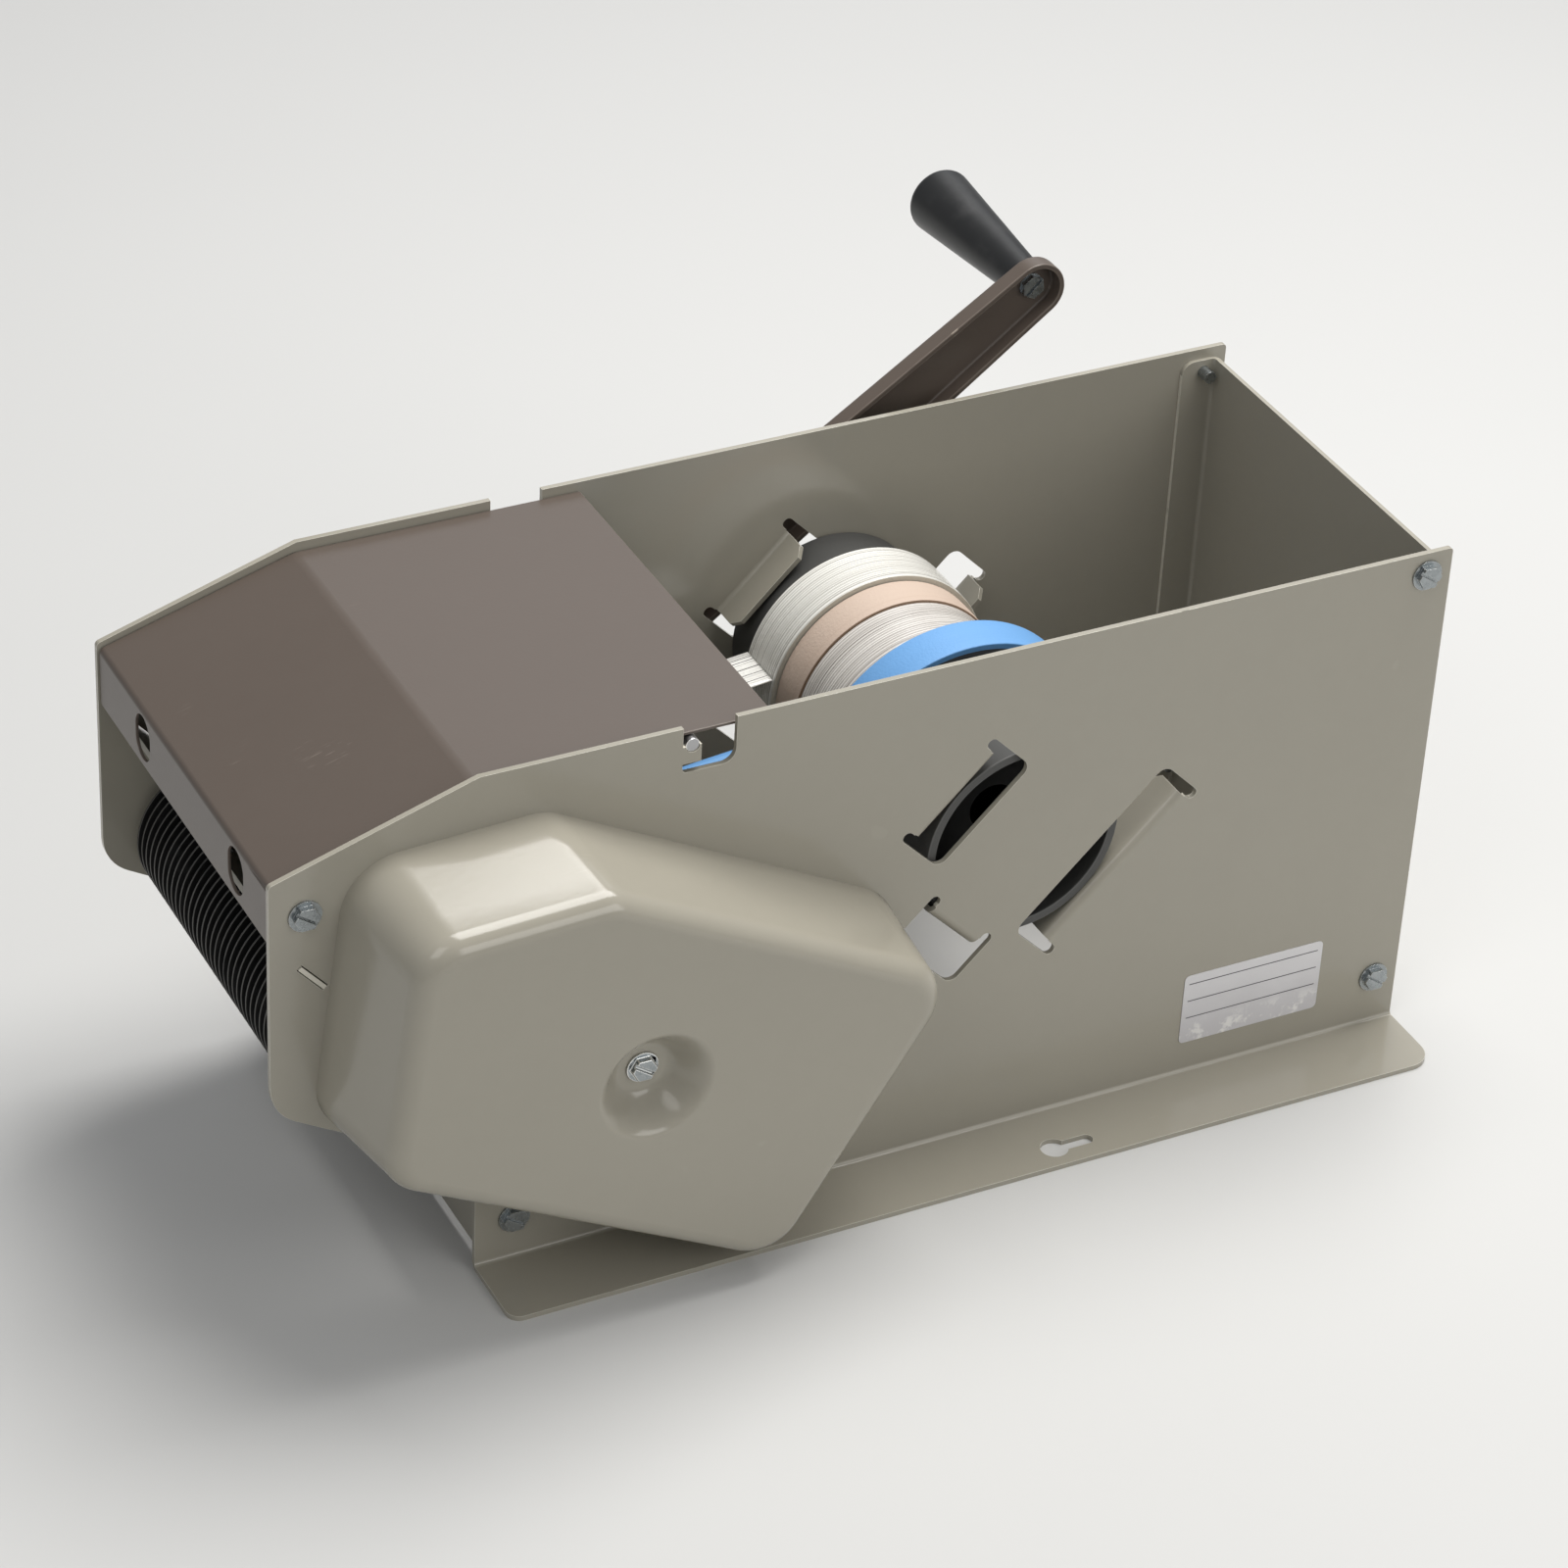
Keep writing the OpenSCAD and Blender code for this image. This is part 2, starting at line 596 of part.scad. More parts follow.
// Plate on the lever shaft whose curved slot stops the swing at the cover's stud
module lever_stop_plate() color("#a9abad")
    across(-half_w - stop_out - stop_t, -half_w - stop_out) translate([lever_x, lever_z])
        difference() {
            union() {
                circle(r = lever_shaft_r + 8, $fn = round_fn);
                intersection() {
                    circle(r = stud_dist + stud_r + 5, $fn = round_fn);
                    polygon([[0, 0], for (a = [-16 : (lever_swing + 32) / 8 : lever_swing + 17])
                        2 * stud_dist * ray(stud_turn - lever_swing + a)]);
                }
            }
            circle(r = lever_shaft_r, $fn = fine_fn);
            difference() {
                circle(r = stud_dist + stud_r + clear, $fn = round_fn);
                circle(r = stud_dist - stud_r - clear, $fn = round_fn);
                polygon([[0, 0], for (a = [0 : (360 - lever_swing) / 8 : 360 - lever_swing])
                    3 * stud_dist * ray(stud_turn + a)]);
            }
            for (a = [0, -lever_swing]) translate(stud_dist * ray(stud_turn + a))
                circle(r = stud_r + clear, $fn = fine_fn);
        }

module lever_shaft() color("#b4b6b8") {
    bar(lever_x, lever_z, -half_w - hub_out - 3, lever_back_y - lever_t, lever_shaft_r);
    bar(lever_x, lever_z, lever_back_y - lever_t, lever_back_y + 8, 4);
}
module lever_collar() color("#b4b6b8") difference() {
    bar(lever_x, lever_z, half_w + clear, lever_back_y - lever_t, lever_shaft_r + 3.5);
    bar(lever_x, lever_z, half_w - 1, lever_back_y, lever_shaft_r);
}
module lever_ring() color("#4b4d50") ring(lever_x, lever_z, -half_w - hub_out - 1.2, lever_shaft_r);
module lever_nut() color("#c8cacc") difference() {
    union() {
        bar(lever_x, lever_z, lever_back_y, lever_back_y + 1.2, 9);
        bar(lever_x, lever_z, lever_back_y + 1.2, lever_back_y + 6.5, 7.4, fn = 6);
    }
    bar(lever_x, lever_z, lever_back_y - 1, lever_back_y + 9, 4);
}

module at_lever() translate([lever_x, 0, lever_z]) rotate([0, -lever_rest, 0]) children();
module lever_arm() color("#736662") at_lever() difference() {
    across(lever_lip_y, lever_back_y) taper(lever_hub_r, lever_tip_r, lever_len);
    across(lever_lip_y - 1, lever_back_y - lever_t)
        taper(lever_hub_r - lever_t, lever_tip_r - lever_t, lever_len);
    bar(0, 0, lever_lip_y, lever_back_y + 1, 4);
    bar(lever_len, 0, lever_lip_y, lever_back_y + 1, knob_bore);
}
knob_nut_in = 9;
module knob_bolt() color("#c8cacc") at_lever() difference() {
    head_y = lever_back_y - lever_t - head_h;
    union() {
        bar(lever_len, 0, head_y, head_y + head_h - 0.6, head_r, fn = 6);
        bar(lever_len, 0, head_y + head_h - 0.6, head_y + head_h, head_r);
        bar(lever_len, 0, head_y + head_h, knob_y + knob_len - knob_nut_in + 5, knob_bore);
    }
    translate([lever_len, head_y, 0]) rotate([0, -8, 0]) cube([20, 2.4, 1.2], center = true);
}
module lever_knob() color("#1e2021") at_lever() translate([lever_len, knob_y, 0])
    rotate([-90, 0, 0]) rotate_extrude($fn = round_fn) {
        round_end = 3;
        polygon([[knob_bore + fit, 0], [knob_r1 - 0.8, 0], [knob_r1, 0.8],
                 [knob_r2, knob_len - round_end],
                 for (a = [15 : 15 : 90])
                     [knob_r2 - round_end * (1 - cos(a)), knob_len - round_end * (1 - sin(a))],
                 [6, knob_len], [6, knob_len - knob_nut_in],
                 [knob_bore + fit, knob_len - knob_nut_in]]);
    }
module knob_nut() color("#c8cacc") at_lever() difference() {
    bar(lever_len, 0, knob_y + knob_len - knob_nut_in + clear,
        knob_y + knob_len - knob_nut_in + 4, 5.2, fn = 6);
    bar(lever_len, 0, knob_y, knob_y + knob_len, knob_bore);
}

module drum_shaft() color("#b4b6b8")
    bar(drum_x, drum_z, -half_w - hub_out - 3, half_w + 3, drum_shaft_r);
module drum_rings() color("#4b4d50") {
    ring(drum_x, drum_z, half_w + clear, drum_shaft_r);
    ring(drum_x, drum_z, -half_w - hub_out - 1.2, drum_shaft_r);
}
module drum_core() color("#222222") difference() {
    bar(drum_x, drum_z, -core_half, core_half, core_r, fn = round_fn);
    bar(drum_x, drum_z, -core_half - 1, core_half + 1, drum_shaft_r);
}
module drum_fins() color("#3a3a39") for (k = [0 : fin_count - 1]) difference() {
    y = k * fin_pitch - fin_span / 2;
    bar(drum_x, drum_z, y - fin_t / 2, y + fin_t / 2, drum_r, fn = round_fn);
    bar(drum_x, drum_z, y - fin_t, y + fin_t, core_r, fn = round_fn);
}

module mandrel_tube() color("#3a3d40") difference() {
    bar(hub_x, hub_z, -hub_half, hub_half, hub_r, fn = round_fn);
    bar(hub_x, hub_z, -hub_half - 1, hub_half + 1, hub_r - hub_wall, fn = round_fn);
}
module mandrel_caps() color("#2c2e30") both() difference() {
    bar(hub_x, hub_z, 22 - hub_half, 22 + cap_t - hub_half, hub_r - hub_wall, fn = round_fn);
    bar(hub_x, hub_z, 20 - hub_half, 24 + cap_t - hub_half, 9, fn = round_fn);
}
module tube_at(y, wide, out_r, in_r) difference() {
    bar(hub_x, hub_z, y, y + wide, out_r, fn = round_fn);
    bar(hub_x, hub_z, y - 1, y + wide + 1, in_r, fn = round_fn);
}
module blue_roll() color("#7fb4e6") tube_at(blue_y, blue_w, blue_r, blue_core_out);
module clear_roll() color("#d8d6cf") tube_at(clear_y, clear_w, clear_r, core_out);
module tan_roll() color("#dcc3ad") tube_at(tan_y, tan_w, tan_r, core_out);
module white_roll() color("#e4e3de") tube_at(white_y, white_w, white_r, core_out);
module blue_core() color("#3a3d40") tube_at(blue_y, blue_w, blue_core_out, core_in);
module clear_core() color("#8a7a66") tube_at(clear_y, clear_w, core_out, core_in);
module tan_core() color("#8a7a66") tube_at(tan_y, tan_w, core_out, core_in);
module white_core() color("#8a7a66") tube_at(white_y, white_w, core_out, core_in);

// Strip that peels off a roll and lies over the top of the drum, in x and z
module strip(roll_r, lift, y, wide) {
    over = drum_r + clear;
    start = [hub_x, hub_z] + (roll_r + clear) * ray(lift);
    reach = start - [drum_x, drum_z];
    lean = atan2(reach[1], reach[0]) + acos(over / norm(reach));
    across(y, y + wide) polygon([
        start, for (a = [lean : 4 : 108]) [drum_x, drum_z] + over * ray(a),
        for (a = [108 : -4 : lean]) [drum_x, drum_z] + (over + tape_t) * ray(a),
        start + tape_t * ray(lean)]);
}
module white_tape_strip() color("#e4e3de") strip(white_r, 167, white_y + 0.4, white_w - 0.8);
module blue_tape_strip() color("#7fb4e6") strip(blue_r, 152, blue_y + 0.4, blue_w - 0.8);

// Lift-up cover: a bent sheet with side flanges that hang inside the panels
lid_path = [[lip_x, lip_top - lip_h], [lip_x, lip_top], [fold_x - 1, lid_fold_z],
            [lid_end, lid_fold_z]];
lid_side_end = rod_x - rod_r - 3;
module lid_side()
    polygon(rounded([lid_path[1], lid_path[2], [lid_side_end, lid_fold_z],
                     [lid_side_end, lid_fold_z - lid_flange],
                     [rod_x - 60, lid_fold_z - lid_flange],
                     [30, lip_top - 1], [24, pivot_z - 8], [lip_x, pivot_z - 8]],
                    [0, 0, 0, 6, 0, 4, 5, 0]));
module top_cover() color("#6f6560") {
    difference() {
        across(-lid_half, lid_half) polygon(concat(
            lid_path,
            [lid_path[3] - [0, lid_t], lid_path[2] - [-lid_t * tan(side_slope / 2), lid_t],
             lid_path[1] + [lid_t, -lid_t * tan(45 - side_slope / 2)], lid_path[0] + [lid_t, 0]]));
        // Two finger holes in the front lip
        for (y = [-half_w + 30, -half_w + 114]) hull() for (s = [-1, 1])
            translate([-2, y, lip_top - (0.5 + 0.09 * s) * lip_h]) rotate([0, 90, 0])
                cylinder(h = 6, r = 0.3 * lip_h, $fn = fine_fn);
    }
    both() difference() {
        across(-lid_half, -lid_half + lid_t) lid_side();
        bar(pivot_x, pivot_z, -half_w - 1, 10 - half_w, 3 + fit);
    }
}

module placed() translate([-key_x, 0, 0]) children();
placed() side_panel_near();
placed() side_panel_far();
placed() rear_panel();
placed() base_brace();
placed() guide_plate();
placed() cutter_blade();
placed() blade_screws();
placed() frame_screws();
placed() rest_rod();
placed() label_plate();
placed() belt_cover();
placed() cover_stud();
placed() cover_screw();
placed() drum_bushes();
placed() lever_bushes();
placed() roller_shaft();
placed() roller_rings();
placed() drive_belt();
placed() pivot_screws();
placed() pivot_nuts();
placed() white_tape_strip();
placed() blue_tape_strip();
placed() top_cover();
placed() lever_arm();
placed() lever_shaft();
placed() lever_collar();
placed() lever_nut();
placed() lever_stop_plate();
placed() one_way_clutch();
placed() lever_pulley();
placed() lever_ring();
placed() knob_bolt();
placed() lever_knob();
placed() knob_nut();
placed() drum_shaft();
placed() drum_core();
placed() drum_fins();
placed() drum_pulley();
placed() drum_rings();
placed() hold_down_roller();
placed() mandrel_tube();
placed() mandrel_caps();
placed() blue_roll();
placed() blue_core();
placed() clear_roll();
placed() clear_core();
placed() tan_roll();
placed() tan_core();
placed() white_roll();
placed() white_core();
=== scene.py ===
import json
import math

import bmesh
import bpy
from mathutils import Matrix, Vector

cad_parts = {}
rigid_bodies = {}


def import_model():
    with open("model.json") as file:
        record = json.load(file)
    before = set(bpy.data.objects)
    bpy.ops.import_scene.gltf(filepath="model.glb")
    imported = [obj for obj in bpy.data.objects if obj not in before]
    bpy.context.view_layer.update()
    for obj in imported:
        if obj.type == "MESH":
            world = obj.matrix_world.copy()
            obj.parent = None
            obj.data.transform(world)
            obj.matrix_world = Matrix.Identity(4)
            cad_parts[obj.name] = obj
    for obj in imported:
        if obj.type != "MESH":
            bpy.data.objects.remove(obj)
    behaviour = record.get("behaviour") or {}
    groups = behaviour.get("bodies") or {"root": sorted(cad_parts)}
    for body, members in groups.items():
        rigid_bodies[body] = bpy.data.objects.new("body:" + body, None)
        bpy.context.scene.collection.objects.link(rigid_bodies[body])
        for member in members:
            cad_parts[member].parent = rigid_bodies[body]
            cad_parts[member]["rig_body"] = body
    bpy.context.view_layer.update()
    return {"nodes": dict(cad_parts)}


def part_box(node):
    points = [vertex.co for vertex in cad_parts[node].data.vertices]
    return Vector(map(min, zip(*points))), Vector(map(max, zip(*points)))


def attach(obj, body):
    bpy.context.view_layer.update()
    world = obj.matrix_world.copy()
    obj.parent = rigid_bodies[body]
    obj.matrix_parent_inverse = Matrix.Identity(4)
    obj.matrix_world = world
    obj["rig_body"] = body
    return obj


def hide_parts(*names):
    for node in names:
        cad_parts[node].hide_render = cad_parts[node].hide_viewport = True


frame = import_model()
print("frame loaded:", len(frame["nodes"]), "nodes")

scene = bpy.context.scene
scene.view_settings.view_transform = "Standard"
mm = 0.001
nodeBody = {n: o["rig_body"] for n, o in frame["nodes"].items()}


# ---- small helpers for shader nodes
def newNode(tree, kind, place=(0, 0), **settings):
    node = tree.nodes.new(kind)
    node.location = place
    for key, value in settings.items():
        setattr(node, key, value)
    return node


def feed(tree, socket, value):
    # a plain value is set on the socket, a node's output is linked to it
    if isinstance(value, (tuple, list)):
        socket.default_value = (*value, 1) if socket.type == "RGBA" and len(value) == 3 else value
    elif isinstance(value, (int, float)):
        socket.default_value = value
    else:
        tree.links.new(value, socket)


def mathNode(tree, operation, a, b=None, c=None, place=(0, 0)):
    node = newNode(tree, "ShaderNodeMath", place, operation=operation)
    for socket, value in zip(node.inputs, (a, b, c)):
        if value is not None:
            feed(tree, socket, value)
    return node.outputs[0]


def rampNode(tree, factor, low, high, place=(0, 0)):
    # 0 below low, 1 above high, smooth between
    node = newNode(tree, "ShaderNodeMapRange", place, interpolation_type="SMOOTHSTEP")
    tree.links.new(factor, node.inputs["Value"])
    node.inputs["From Min"].default_value = low
    node.inputs["From Max"].default_value = high
    return node.outputs["Result"]


def mixColour(tree, factor, a, b, place=(0, 0)):
    node = newNode(tree, "ShaderNodeMix", place, data_type="RGBA")
    for i, value in ((0, factor), (6, a), (7, b)):
        feed(tree, node.inputs[i], value)
    return node.outputs[2]


def noiseNode(tree, vector, scale, detail=2.0, rough=0.5, place=(0, 0)):
    node = newNode(tree, "ShaderNodeTexNoise", place)
    for key, value in (("Vector", vector), ("Scale", scale), ("Detail", detail), ("Roughness", rough)):
        feed(tree, node.inputs[key], value)
    return node.outputs["Fac"]


def lineNoise(tree, along, scale, detail, place):
    # noise that changes along one coordinate only
    node = newNode(tree, "ShaderNodeTexNoise", place, noise_dimensions="1D")
    for key, value in (("W", along), ("Scale", scale), ("Detail", detail)):
        feed(tree, node.inputs[key], value)
    return node.outputs["Fac"]


def objectCoords(tree, centre=(0, 0, 0)):
    # object coordinates, measured from a centre
    coords = newNode(tree, "ShaderNodeTexCoord", (-1400, 0))
    mapping = newNode(tree, "ShaderNodeMapping", (-1220, 0))
    mapping.inputs["Location"].default_value = [-c for c in centre]
    tree.links.new(coords.outputs["Object"], mapping.inputs["Vector"])
    return mapping.outputs["Vector"]


def newGroup(name, inputs, outputs):
    group = bpy.data.node_groups.new(name, "ShaderNodeTree")
    for socketName, kind, value in inputs:
        socket = group.interface.new_socket(socketName, in_out="INPUT", socket_type=kind)
        if value is not None:
            socket.default_value = value
    for socketName, kind in outputs:
        group.interface.new_socket(socketName, in_out="OUTPUT", socket_type=kind)
    return group, newNode(group, "NodeGroupInput", (-1200, 0)), newNode(group, "NodeGroupOutput", (900, 0))


def useGroup(tree, group, place=(-700, 0), **values):
    node = newNode(tree, "ShaderNodeGroup", place, node_tree=group)
    for key, value in values.items():
        feed(tree, node.inputs[key], value)
    return node


# ---- effects that several finishes share
# pairs are the two ends of a soft step: 0 at the first, 1 at the second
skinShape = {"slowScale": 9.0, "fineScale": 160.0, "slowShare": 0.75, "speckStep": (0.06, 0.03),
             "speckRarity": 0.9}
scratchShape = {"turns": (24, -38), "tilt": 0.6, "stretch": (130, 2600, 130), "lineStep": (0.74, 0.80),
                "patchScale": 26.0, "patchStep": (0.64, 0.74)}
# edge lightening: partly wear, partly a painted highlight along the edges
edgeHighlightAndWearShape = {"patchStep": (0.2, 0.44), "chipScale": 75.0, "chipStep": (0.735, 0.76)}
strandShape = {"wander": 5.0, "laidStep": (-0.6, 0.9), "darkStep": (0.38, 0.33)}


def makePaintSkin():
    # enamel: slow tone change, fine orange peel, rare dark specks
    group, take, give = newGroup(
        "paintSkin",
        [("Vector", "NodeSocketVector", None), ("Peel Scale", "NodeSocketFloat", 900.0),
         ("Speck Scale", "NodeSocketFloat", 55.0)],
        [("Tone", "NodeSocketFloat"), ("Peel", "NodeSocketFloat"), ("Speck", "NodeSocketFloat")])
    vector = take.outputs["Vector"]
    slow = noiseNode(group, vector, skinShape["slowScale"], 3.0, 0.55, (-800, 200))
    fine = noiseNode(group, vector, skinShape["fineScale"], 2.0, 0.5, (-800, 0))
    share = skinShape["slowShare"]
    tone = mathNode(group, "ADD", mathNode(group, "MULTIPLY", slow, share, place=(-600, 200)),
                    mathNode(group, "MULTIPLY", fine, 1 - share, place=(-600, 0)), place=(-400, 100))
    peel = noiseNode(group, vector, take.outputs["Peel Scale"], 1.5, place=(-800, -250))
    cells = newNode(group, "ShaderNodeTexVoronoi", (-800, -500))
    group.links.new(vector, cells.inputs["Vector"])
    group.links.new(take.outputs["Speck Scale"], cells.inputs["Scale"])
    near = rampNode(group, cells.outputs["Distance"], *skinShape["speckStep"], (-600, -500))
    pick = newNode(group, "ShaderNodeSeparateColor", (-600, -700))
    group.links.new(cells.outputs["Color"], pick.inputs["Color"])
    rare = mathNode(group, "GREATER_THAN", pick.outputs["Red"], skinShape["speckRarity"], place=(-400, -700))
    group.links.new(tone, give.inputs["Tone"])
    group.links.new(peel, give.inputs["Peel"])
    group.links.new(mathNode(group, "MULTIPLY", near, rare, place=(-200, -600)), give.inputs["Speck"])
    return group


def makeScratches():
    # thin straight marks in two directions, gathered in patches
    group, take, give = newGroup(
        "scratchMarks",
        [("Vector", "NodeSocketVector", None), ("Scale", "NodeSocketFloat", 1.0),
         ("Amount", "NodeSocketFloat", 0.5)],
        [("Mask", "NodeSocketFloat")])
    patches = noiseNode(group, take.outputs["Vector"], scratchShape["patchScale"], 2.0, 0.6, (-900, 500))
    marks = []
    for turn, y in zip(scratchShape["turns"], (200, -200)):
        mapping = newNode(group, "ShaderNodeMapping", (-1000, y))
        group.links.new(take.outputs["Vector"], mapping.inputs["Vector"])
        tilt = turn * scratchShape["tilt"]
        mapping.inputs["Rotation"].default_value = [math.radians(t) for t in (turn, tilt, turn)]
        mapping.inputs["Scale"].default_value = scratchShape["stretch"]
        line = noiseNode(group, mapping.outputs["Vector"], take.outputs["Scale"], 0.0, place=(-800, y))
        marks.append(rampNode(group, line, *scratchShape["lineStep"], (-600, y)))
    both = mathNode(group, "MAXIMUM", marks[0], marks[1], place=(-400, 0))
    gate = rampNode(group, patches, *scratchShape["patchStep"], (-600, 500))
    mask = mathNode(group, "MULTIPLY", both, gate, place=(-200, 100))
    mask = mathNode(group, "MULTIPLY", mask, take.outputs["Amount"], place=(0, 100))
    group.links.new(mask, give.inputs["Mask"])
    return group


def makeEdgeHighlightAndWear():
    # reads the piece's own "edge" attribute, broken up by noise; Mask lightens the broken edges, partly as wear
    # and partly as a painted highlight, and Chip gives worn chips
    group, take, give = newGroup(
        "edgeHighlightAndWearGroup",
        [("Vector", "NodeSocketVector", None), ("Scale", "NodeSocketFloat", 120.0),
         ("Amount", "NodeSocketFloat", 0.5)],
        [("Mask", "NodeSocketFloat"), ("Chip", "NodeSocketFloat")])
    edge = newNode(group, "ShaderNodeAttribute", (-900, 300), attribute_name="edge")
    patch = noiseNode(group, take.outputs["Vector"], take.outputs["Scale"], 3.0, place=(-900, 0))
    some = rampNode(group, patch, *edgeHighlightAndWearShape["patchStep"], (-700, 0))
    mask = mathNode(group, "MULTIPLY", edge.outputs["Fac"], some, place=(-400, 200))
    mask = mathNode(group, "MULTIPLY", mask, take.outputs["Amount"], place=(-200, 200))
    chips = noiseNode(group, take.outputs["Vector"], edgeHighlightAndWearShape["chipScale"], 1.0, 0.5, (-900, -300))
    chips = rampNode(group, chips, *edgeHighlightAndWearShape["chipStep"], (-700, -300))
    chip = mathNode(group, "MULTIPLY", edge.outputs["Fac"], chips, place=(-400, -200))
    group.links.new(mask, give.inputs["Mask"])
    group.links.new(chip, give.inputs["Chip"])
    return group


def makeStrands():
    # lines that run round a roll or along a tape, from one coordinate
    group, take, give = newGroup(
        "strandLines",
        [("Along", "NodeSocketFloat", 0.0), ("Fine Scale", "NodeSocketFloat", 1800.0),
         ("Coarse Scale", "NodeSocketFloat", 420.0), ("Laid Scale", "NodeSocketFloat", 6000.0)],
        [("Fine", "NodeSocketFloat"), ("Laid", "NodeSocketFloat"), ("Coarse", "NodeSocketFloat"),
         ("Dark Line", "NodeSocketFloat")])
    fine = lineNoise(group, take.outputs["Along"], take.outputs["Fine Scale"], 2.0, (-700, 200))
    coarse = lineNoise(group, take.outputs["Along"], take.outputs["Coarse Scale"], 3.0, (-700, -100))
    even = mathNode(group, "MULTIPLY", take.outputs["Along"], take.outputs["Laid Scale"], place=(-650, 500))
    laid = mathNode(group, "MULTIPLY_ADD", coarse, strandShape["wander"], even, (-450, 500))
    laid = mathNode(group, "SINE", laid, place=(-250, 500))
    group.links.new(rampNode(group, laid, *strandShape["laidStep"], (-50, 500)), give.inputs["Laid"])
    group.links.new(fine, give.inputs["Fine"])
    group.links.new(coarse, give.inputs["Coarse"])
    group.links.new(rampNode(group, coarse, *strandShape["darkStep"], (-400, -300)), give.inputs["Dark Line"])
    return group


def makeTurnedLines():
    # fine rings left by a lathe or by winding, about an axis along Y through Centre
    group, take, give = newGroup(
        "turnedLines",
        [("Vector", "NodeSocketVector", None), ("Scale", "NodeSocketFloat", 2500.0)],
        [("Rings", "NodeSocketFloat"), ("Radius", "NodeSocketFloat")])
    parts = newNode(group, "ShaderNodeSeparateXYZ", (-900, 0))
    group.links.new(take.outputs["Vector"], parts.inputs[0])
    flat = newNode(group, "ShaderNodeCombineXYZ", (-700, 0))
    group.links.new(parts.outputs["X"], flat.inputs["X"])
    group.links.new(parts.outputs["Z"], flat.inputs["Y"])
    length = newNode(group, "ShaderNodeVectorMath", (-500, 0), operation="LENGTH")
    group.links.new(flat.outputs[0], length.inputs[0])
    rings = lineNoise(group, length.outputs["Value"], take.outputs["Scale"], 2.0, (-300, 0))
    group.links.new(rings, give.inputs["Rings"])
    group.links.new(length.outputs["Value"], give.inputs["Radius"])
    return group


paintSkin = makePaintSkin()
scratchMarks = makeScratches()
edgeHighlightAndWearGroup = makeEdgeHighlightAndWear()
strandLines = makeStrands()
turnedLines = makeTurnedLines()
print("shared effects made")


# ---- finishes
def newFinish(name):
    material = bpy.data.materials.new(name)
    material.use_nodes = True
    tree = material.node_tree
    shader = tree.nodes["Principled BSDF"]
    shader.location = (400, 0)
    tree.nodes["Material Output"].location = (700, 0)
    return material, tree, shader


def bumpTo(tree, shader, height, strength, distance, place=(150, -400)):
    bump = newNode(tree, "ShaderNodeBump", place)
    for key, value in (("Strength", strength), ("Distance", distance), ("Height", height)):
        feed(tree, bump.inputs[key], value)
    tree.links.new(bump.outputs["Normal"], shader.inputs["Normal"])


def enamel(name, look):
    material, tree, shader = newFinish(name)
    vector = objectCoords(tree)
    skin = useGroup(tree, paintSkin, (-900, 200), Vector=vector)
    skin.inputs["Peel Scale"].default_value = look["peelScale"]
    skin.inputs["Speck Scale"].default_value = look["speckScale"]
    marks = useGroup(tree, scratchMarks, (-900, -100), Vector=vector, Amount=look["scratches"])
    edgeHighlightAndWear = useGroup(tree, edgeHighlightAndWearGroup, (-900, -350), Vector=vector, Amount=look["highlightAndWear"])
    colour = mixColour(tree, skin.outputs["Tone"], look["dark"], look["light"], (-500, 300))
    colour = mixColour(tree, marks.outputs["Mask"], colour, look["scratchColour"], (-300, 250))
    # broken and cut edges lightened: partly wear, partly a painted highlight
    colour = mixColour(tree, edgeHighlightAndWear.outputs["Mask"], colour, look["edgeHighlightAndWearColour"], (-100, 200))
    colour = mixColour(tree, edgeHighlightAndWear.outputs["Chip"], colour, look["chipColour"], (50, 150))
    speck = mathNode(tree, "MULTIPLY", skin.outputs["Speck"], look["specks"], place=(-300, -50))
    colour = mixColour(tree, speck, colour, look["chipColour"], (200, 150))
    tree.links.new(colour, shader.inputs["Base Color"])
    rough = mathNode(tree, "MULTIPLY_ADD", skin.outputs["Tone"], look["roughSpread"], look["rough"], (-300, -200))
    rough = mathNode(tree, "MULTIPLY_ADD", marks.outputs["Mask"], look["scratchRough"], rough, (-100, -200))
    tree.links.new(rough, shader.inputs["Roughness"])
    bumpTo(tree, shader, skin.outputs["Peel"], look["peel"], look["peelDepth"])
    return material


# the pale edge colour in each look is partly wear, partly a painted highlight on the broken edges
beigeLook = {"dark": (0.318, 0.299, 0.248), "light": (0.35, 0.329, 0.272), "edgeHighlightAndWearColour": (0.68, 0.65, 0.56),
             "scratchColour": (0.5, 0.47, 0.39), "chipColour": (0.13, 0.12, 0.095), "rough": 0.13,
             "roughSpread": 0.05,
             "peel": 0.07, "peelScale": 620.0, "speckScale": 19.0, "specks": 0.3, "scratches": 0.1, "highlightAndWear": 0.95,
             "scratchRough": 0.25, "peelDepth": 0.0002}
coverLook = dict(beigeLook, dark=(0.322, 0.302, 0.249), light=(0.352, 0.33, 0.272), peelScale=480.0, peel=0.08,
                 scratches=0.12, highlightAndWear=0.2, specks=0.2)
brownLook = {"dark": (0.094, 0.074, 0.06), "light": (0.107, 0.085, 0.07), "edgeHighlightAndWearColour": (0.24, 0.2, 0.17),
             "scratchColour": (0.33, 0.28, 0.24), "chipColour": (0.34, 0.29, 0.24), "rough": 0.3,
             "roughSpread": 0.08,
             "peel": 0.1, "peelScale": 800.0, "speckScale": 62.0, "specks": 0.6, "scratches": 0.45, "highlightAndWear": 0.35,
             "scratchRough": 0.25, "peelDepth": 0.0002}
beigeEnamel = enamel("beigeEnamel", beigeLook)
coverEnamel = enamel("coverEnamel", coverLook)
brownEnamel = enamel("brownEnamel", brownLook)


